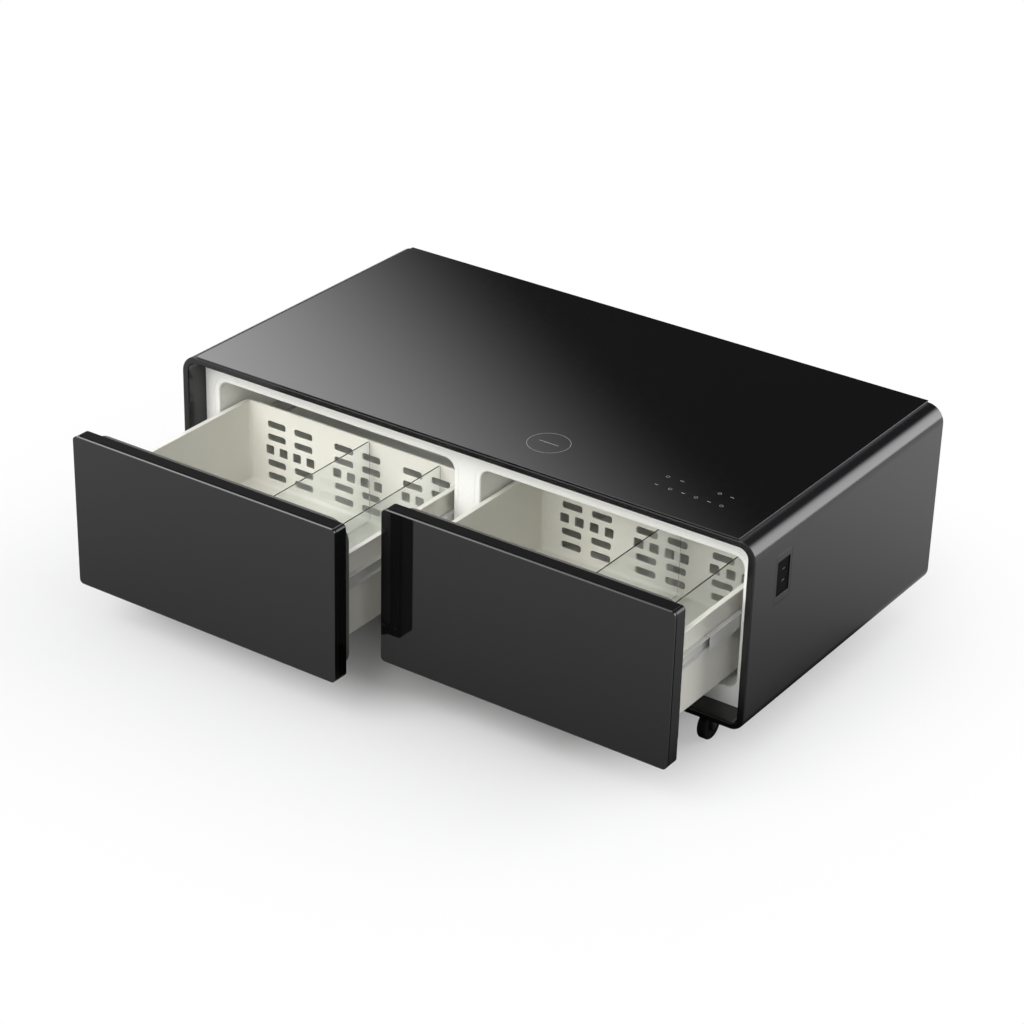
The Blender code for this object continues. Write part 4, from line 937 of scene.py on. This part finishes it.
def bin_outlines(side):
    """The rim, the outside of the wall and the inside of the wall, seen from above."""
    rim = outline_of(f"{side}_bin", "XY", BIN_RIM_RADIUS, steps=FINE_CORNER)
    low = (rim.low[0] + BIN_RIM_OVERHANG, rim.low[1] + BIN_RIM_OVERHANG)
    high = (rim.high[0] - BIN_RIM_OVERHANG, rim.high[1] - BIN_BACK_OVERHANG)
    wall = RoundedBox(low, high, BIN_RIM_RADIUS - BIN_RIM_OVERHANG, steps=FINE_CORNER)
    return rim, wall, wall.grown(-BIN_WALL)


def make_bin(side):
    low, high = cabinet_box(f"{side}_bin")
    rim, wall, inner = bin_outlines(side)
    under = high.z - BIN_RIM_THICKNESS
    stations = plate_stations(wall, low.z, under, BIN_FILLET, 0.0)
    stations += plate_stations(rim, under, high.z, BIN_RIM_EDGE, BIN_RIM_EDGE)
    for inset, depth in quarter(BIN_RIM_EDGE):
        stations.append((inner.grown(inset).points(), high.z - depth))
    for inset, depth in reversed(quarter(BIN_FILLET)):
        stations.append((inner.grown(-inset).points(), low.z + BIN_WALL + depth))
    mesh = bmesh.new()
    loft(mesh, stations, "Z")
    tub = add_piece(f"{side}_tub", mesh, f"{side}_drawer", "bin_white", f"{side}_bin")
    ends = (inner.high[1], high.y + OVERRUN)
    slots = slot_outlines(inner, high.z)
    carve(tub, [hole_stations(slot, *ends, SLOT_EDGE) for slot in slots], "Y")


def slot_outlines(inner, rim_height):
    """Groups of air slots in the back wall, each with a row of small windows in its middle."""
    outlines = []
    for group_offset in spread(SLOT_GROUPS, SLOT_GROUP_PITCH):
        group_x = inner.middle()[0] + group_offset
        for row in range(SLOT_ROWS):
            centre_z = rim_height - SLOT_TOP_DROP - row * SLOT_ROW_PITCH
            if row == SLOT_ROWS // 2:
                for offset in spread(WINDOWS_PER_GROUP, WINDOW_PITCH):
                    centre = (group_x + offset, centre_z)
                    outlines.append(centred_box(centre, WINDOW_SIZE, WINDOW_SIZE, WINDOW_CORNER))
            else:
                for offset in spread(SLOT_COLUMNS, SLOT_COLUMN_PITCH):
                    centre = (group_x + offset, centre_z)
                    outlines.append(centred_box(centre, SLOT_LENGTH, SLOT_HEIGHT, SLOT_CORNER))
    return outlines


def make_dividers(side):
    for number in DIVIDERS:
        node = f"{side}_divider_{number}"
        low, high = cabinet_box(node)
        outline = outline_of(node, "YZ", DIVIDER_CORNER)
        mesh = bmesh.new()
        loft(mesh, plate_stations(outline, low.x, high.x, DIVIDER_EDGE, DIVIDER_EDGE), "X")
        add_piece(f"{side}_partition_{number}", mesh, f"{side}_drawer", "clear", node)


# Slides
def make_slides(side):
    for end in SIDES:
        prefix = f"{side}_drawer_{end}"
        soften(f"{prefix}_fixed_rail", RAIL_EDGE, "zinc")
        soften(f"{prefix}_mid_rail", RAIL_EDGE, "white_powder")
        soften(f"{prefix}_runner", RAIL_EDGE, "white_powder")


# Back of the cabinet
def make_rear_panel():
    low, high = cabinet_box("rear_panel")
    outline = plate_outline("rear_panel")
    mesh = bmesh.new()
    loft(mesh, plate_stations(outline, high.y, low.y, PANEL_EDGE, 0.0), "Y")
    panel = add_piece("back_cover", mesh, "cabinet", "panel_black", "rear_panel")
    centre_z = outline.middle()[1]
    cutters = []
    for group_x in VENT_CENTRES_X:
        for offset in spread(VENTS_PER_GROUP, VENT_PITCH):
            vent = centred_box((group_x + offset, centre_z), VENT_WIDTH, VENT_LENGTH, VENT_RADIUS)
            cutters.append(hole_stations(vent, high.y, low.y - OVERRUN, PANEL_EDGE))
    inlet = inlet_body_outline().grown(FRAME_GAP).points()
    cutters.append([(inlet, high.y + OVERRUN), (inlet, low.y - OVERRUN)])
    carve(panel, cutters, "Y")
    mesh = bmesh.new()
    inner = outline.grown(-PANEL_SCREW_INSET)
    step = (inner.high[0] - inner.low[0]) / (PANEL_SCREWS - 1)
    for index in range(PANEL_SCREWS):
        for centre_z in (inner.low[1], inner.high[1]):
            add_screw(mesh, (inner.low[0] + index * step, centre_z), high.y)
    add_piece("back_cover_screws", mesh, "cabinet", "zinc", slot="rear_panel")


def add_screw(mesh, centre, seat):
    """A low screw head with a round socket, standing on the back of its seat."""
    profile = [
        (SCREW_RADIUS, seat),
        (SCREW_RADIUS, seat + SCREW_HEIGHT / 2),
        (SCREW_RADIUS - SCREW_HEIGHT / 2, seat + SCREW_HEIGHT),
        (SCREW_SOCKET, seat + SCREW_HEIGHT),
        (SCREW_SOCKET, seat + SCREW_HEIGHT / 3),
    ]
    turned(mesh, profile, centre, "Y", SMALL_SEGMENTS)


def inlet_body_outline():
    return outline_of("power_inlet", "XZ", INLET_RADIUS + INLET_FLANGE).grown(-INLET_FLANGE)


# Casters
def add_turned_ring(name, profile, centre, middle_x, wheel, *nodes):
    """A ring of the wheel, whose profile gives radius and distance from the middle."""
    mesh = bmesh.new()
    stations = [(rim, middle_x + distance) for rim, distance in profile]
    turned(mesh, stations, centre, "X", joined=True)
    add_piece(name, mesh, body_of(wheel), "tyre", *nodes, slot=wheel)


def make_caster(name):
    wheel = f"{name}_wheel"
    low, high = cabinet_box(wheel)
    centre = outline_of(wheel, "YZ", 0.0).middle()
    middle_x = (low.x + high.x) / 2
    half = (high.x - low.x) / 2
    radius = (high.z - low.z) / 2
    tread = []
    for inset, depth in quarter(WHEEL_EDGE):
        tread.append((radius - inset, depth - half + WHEEL_FACE_INSET))
    side = [(radius - WHEEL_TYRE_DEPTH, WHEEL_FACE_INSET - half)] + tread
    for offset in spread(TREAD_GROOVES, TREAD_PITCH):
        side += [
            (radius, offset - TREAD_GROOVE / 2),
            (radius - TREAD_GROOVE, offset - TREAD_GROOVE / 4),
            (radius - TREAD_GROOVE, offset + TREAD_GROOVE / 4),
            (radius, offset + TREAD_GROOVE / 2),
        ]
    side += [(rim, -distance) for rim, distance in reversed([side[0]] + tread)]
    add_turned_ring(f"{name}_tyre", side, centre, middle_x, wheel, wheel)
    disc = [
        (AXLE_RADIUS, half),
        (WHEEL_HUB_RADIUS - HUB_EDGE, half),
        (WHEEL_HUB_RADIUS, half - HUB_EDGE),
        (WHEEL_HUB_RADIUS, half - WHEEL_DISH + HUB_EDGE),
        (WHEEL_HUB_RADIUS + HUB_EDGE, half - WHEEL_DISH),
        (radius - WHEEL_TYRE_DEPTH - HUB_EDGE, half - WHEEL_FACE_INSET - HUB_EDGE),
        (radius - WHEEL_TYRE_DEPTH, half - WHEEL_FACE_INSET - HUB_EDGE),
    ]
    disc += [(rim, -distance) for rim, distance in reversed(disc)]
    add_turned_ring(f"{name}_hub", disc, centre, middle_x, wheel)
    soften(f"{name}_fork", STEEL_EDGE, "black_steel")
    soften(f"{name}_plate", STEEL_EDGE, "black_steel")


# Studio
def floor_share(look, place, middle, half_size, reach, falloff):
    """The share of plain white that the floor shows, from none at a box to all of it."""
    centred = look.add("ShaderNodeVectorMath", operation="SUBTRACT")
    centred.inputs[1].default_value = middle
    look.link(place, centred.inputs[0])
    folded = look.add("ShaderNodeVectorMath", operation="ABSOLUTE")
    look.link(centred.outputs["Vector"], folded.inputs[0])
    outside = look.add("ShaderNodeVectorMath", operation="SUBTRACT")
    outside.inputs[1].default_value = half_size
    look.link(folded.outputs["Vector"], outside.inputs[0])
    beyond = look.add("ShaderNodeVectorMath", operation="MAXIMUM")
    look.link(outside.outputs["Vector"], beyond.inputs[0])
    distance = look.add("ShaderNodeVectorMath", operation="LENGTH")
    look.link(beyond.outputs["Vector"], distance.inputs[0])
    nearness = look.add("ShaderNodeMapRange")
    nearness.inputs["From Max"].default_value = reach
    nearness.inputs["To Min"].default_value = 1.0
    nearness.inputs["To Max"].default_value = 0.0
    look.link(distance.outputs["Value"], nearness.inputs["Value"])
    shade = look.add("ShaderNodeMath", operation="POWER")
    shade.inputs[1].default_value = falloff
    look.link(nearness.outputs["Result"], shade.inputs[0])
    share = look.add("ShaderNodeMath", operation="SUBTRACT")
    share.inputs[0].default_value = 1.0
    look.link(shade.outputs["Value"], share.inputs[1])
    return share.outputs["Value"]


def make_floor():
    look = Look("studio_floor")
    look.shader.inputs["Roughness"].default_value = FLOOR_ROUGHNESS
    look.shader.inputs["Specular IOR Level"].default_value = 0.0
    white = look.add("ShaderNodeEmission")
    coordinates = look.add("ShaderNodeTexCoord")
    place = coordinates.outputs["Object"]
    rays = look.add("ShaderNodeLightPath")
    colour = look.add("ShaderNodeMix", data_type="RGBA")
    colour.inputs["A"].default_value = (*FLOOR_BOUNCE_COLOUR, 1.0)
    colour.inputs["B"].default_value = (*FLOOR_COLOUR, 1.0)
    look.link(rays.outputs["Is Camera Ray"], colour.inputs["Factor"])
    look.link(colour.outputs["Result"], look.shader.inputs["Base Color"])
    mirrored = look.add("ShaderNodeMath", operation="ADD", use_clamp=True)
    look.link(rays.outputs["Is Glossy Ray"], mirrored.inputs[0])
    look.link(rays.outputs["Is Transmission Ray"], mirrored.inputs[1])
    seen = look.add("ShaderNodeMath", operation="MULTIPLY")
    look.link(rays.outputs["Is Camera Ray"], seen.inputs[0])
    look.link(floor_share(look, place, *SEEN_SHADE), seen.inputs[1])
    share = look.add("ShaderNodeMath", operation="ADD", use_clamp=True)
    look.link(seen.outputs["Value"], share.inputs[0])
    look.link(mirrored.outputs["Value"], share.inputs[1])
    # Rays from polished surfaces see the floor as white light alone, dimmed near the cabinet and at
    # its foot: painted shade, not the cabinet's cast shadow.
    strength = look.add("ShaderNodeMix")
    strength.inputs["A"].default_value = 1.0
    look.link(mirrored.outputs["Value"], strength.inputs["Factor"])
    shaded = look.add("ShaderNodeMath", operation="MULTIPLY")
    look.link(floor_share(look, place, *MIRRORED_SHADE), shaded.inputs[0])
    look.link(floor_share(look, place, *MIRRORED_FOOT_SHADE), shaded.inputs[1])
    look.link(shaded.outputs["Value"], strength.inputs["B"])
    look.link(strength.outputs["Result"], white.inputs["Strength"])
    mix = look.add("ShaderNodeMixShader")
    look.link(share.outputs["Value"], mix.inputs["Fac"])
    look.link(look.shader.outputs["BSDF"], mix.inputs[1])
    look.link(white.outputs["Emission"], mix.inputs[2])
    look.link(mix.outputs["Shader"], look.tree.nodes["Material Output"].inputs["Surface"])
    half = FLOOR_SIZE / 2
    mesh = bmesh.new()
    corners = ((-half, -half), (half, -half), (half, half), (-half, half))
    mesh.faces.new([mesh.verts.new((x, y, 0)) for x, y in corners])
    data = bpy.data.meshes.new("studio_floor")
    mesh.to_mesh(data)
    mesh.free()
    data.materials.append(look.material)
    floor = bpy.data.objects.new("studio_floor", data)
    bpy.context.scene.collection.objects.link(floor)


def direction_to(azimuth, elevation):
    """A unit vector: azimuth from +Y towards +X, elevation from the floor, in degrees."""
    turn = math.radians(azimuth)
    rise = math.radians(elevation)
    return Vector(
        (math.sin(turn) * math.cos(rise), math.cos(turn) * math.cos(rise), math.sin(rise))
    )


def make_world():
    world = bpy.data.worlds.new("studio")
    bpy.context.scene.world = world
    world.use_nodes = True
    tree = world.node_tree
    coordinates = tree.nodes.new("ShaderNodeTexCoord")
    background = tree.nodes["Background"]
    background.inputs["Color"].default_value = (1.0, 1.0, 1.0, 1.0)

    def facing(direction, fade, levels):
        """A value that goes smoothly between two levels as a ray turns to a direction."""
        dot = tree.nodes.new("ShaderNodeVectorMath")
        dot.operation = "DOT_PRODUCT"
        dot.inputs[1].default_value = direction
        tree.links.new(coordinates.outputs["Generated"], dot.inputs[0])
        shape = tree.nodes.new("ShaderNodeMapRange")
        shape.interpolation_type = "SMOOTHSTEP"
        for socket, value in zip(("From Min", "From Max", "To Min", "To Max"), (*fade, *levels)):
            shape.inputs[socket].default_value = value
        tree.links.new(dot.outputs["Value"], shape.inputs["Value"])
        return shape.outputs["Result"]

    def joined(operation, first, second):
        node = tree.nodes.new("ShaderNodeMath")
        node.operation = operation
        tree.links.new(first, node.inputs[0])
        tree.links.new(second, node.inputs[1])
        return node.outputs["Value"]

    def unless(ray, value):
        """What a kind of ray sees in place of the value, which is led there afterwards."""
        mix = tree.nodes.new("ShaderNodeMix")
        tree.links.new(ray, mix.inputs["Factor"])
        tree.links.new(value, mix.inputs["A"])
        return mix

    def light(direction, fade, levels):
        return facing(direction_to(*direction), fade, levels)

    right = light(*RIGHT_SOFTBOX)
    slope = facing(softbox_slope(), SOFTBOX_RAMP, (0.0, 1.0))
    left = joined("MULTIPLY", light(*MIRRORED_LEFT), slope)
    lighting = joined("ADD", right, joined("ADD", light(*FILL_LIGHT), light(*KEY_LIGHT)))
    mirrored = joined("ADD", right, joined("ADD", left, light(*MIRRORED_DOME)))
    mirrored = joined("ADD", mirrored, light(*MIRRORED_FRONT))
    rays = tree.nodes.new("ShaderNodeLightPath")
    polished = unless(rays.outputs["Is Glossy Ray"], lighting)
    tree.links.new(mirrored, polished.inputs["B"])
    seen = unless(rays.outputs["Is Camera Ray"], polished.outputs["Result"])
    seen.inputs["B"].default_value = 1.0
    tree.links.new(seen.outputs["Result"], background.inputs["Strength"])


def softbox_slope():
    """The direction in which the left softbox grows brighter, square to its edge."""
    place = direction_to(*SOFTBOX_EDGE)
    east = direction_to(SOFTBOX_EDGE[0] + 90, 0)
    upward = east.cross(place)
    tilt = math.radians(SOFTBOX_TILT)
    return math.sin(tilt) * upward - math.cos(tilt) * east


def make_camera():
    yaw, pitch, roll = (math.radians(angle) for angle in CAMERA_ANGLES)
    level = Vector((-math.sin(yaw), math.cos(yaw), 0.0))
    forward = math.cos(pitch) * level - math.sin(pitch) * Vector((0.0, 0.0, 1.0))
    right = forward.cross(Vector((0, 0, 1))).normalized()
    up = right.cross(forward)
    turned_right = math.cos(roll) * right + math.sin(roll) * up
    turned_up = math.cos(roll) * up - math.sin(roll) * right
    data = bpy.data.cameras.new("camera")
    data.lens = CAMERA_LENS
    data.sensor_width = CAMERA_SENSOR
    data.clip_end = FLOOR_SIZE
    camera = bpy.data.objects.new("camera", data)
    bpy.context.scene.collection.objects.link(camera)
    axes = Matrix((turned_right, turned_up, -forward)).transposed().to_4x4()
    camera.matrix_world = Matrix.Translation(CORNER + Vector(CAMERA_PLACE)) @ axes
    bpy.context.scene.camera = camera


def main():
    make_shell()
    make_glass_top()
    make_port_module()
    make_face_frame()
    for side in SIDES:
        make_liner(side)
        make_light(side)
        make_drawer_front(side)
        make_gasket(side)
        make_bin(side)
        make_dividers(side)
        make_slides(side)
        dress(f"{side}_evaporator", "aluminium")
        soften(f"{side}_fan_rotor", MOULDED_EDGE, "black_plastic")
    for row in ("front", "rear"):
        for column in SIDES:
            make_caster(f"{row}_{column}_caster")
    make_rear_panel()
    soften("power_inlet", INLET_EDGE, "black_plastic")
    soften("condenser_fan_frame", MOULDED_EDGE, "black_plastic")
    soften("condenser_fan_rotor", MOULDED_EDGE, "black_plastic")
    soften("compressor", STEEL_EDGE, "black_steel")
    for node, finish in PLAIN_NODES.items():
        dress(node, finish)
    for made in PIECES:
        level_faces(made)
    make_floor()
    make_world()
    make_camera()
    bpy.context.scene.view_settings.view_transform = "Standard"


main()
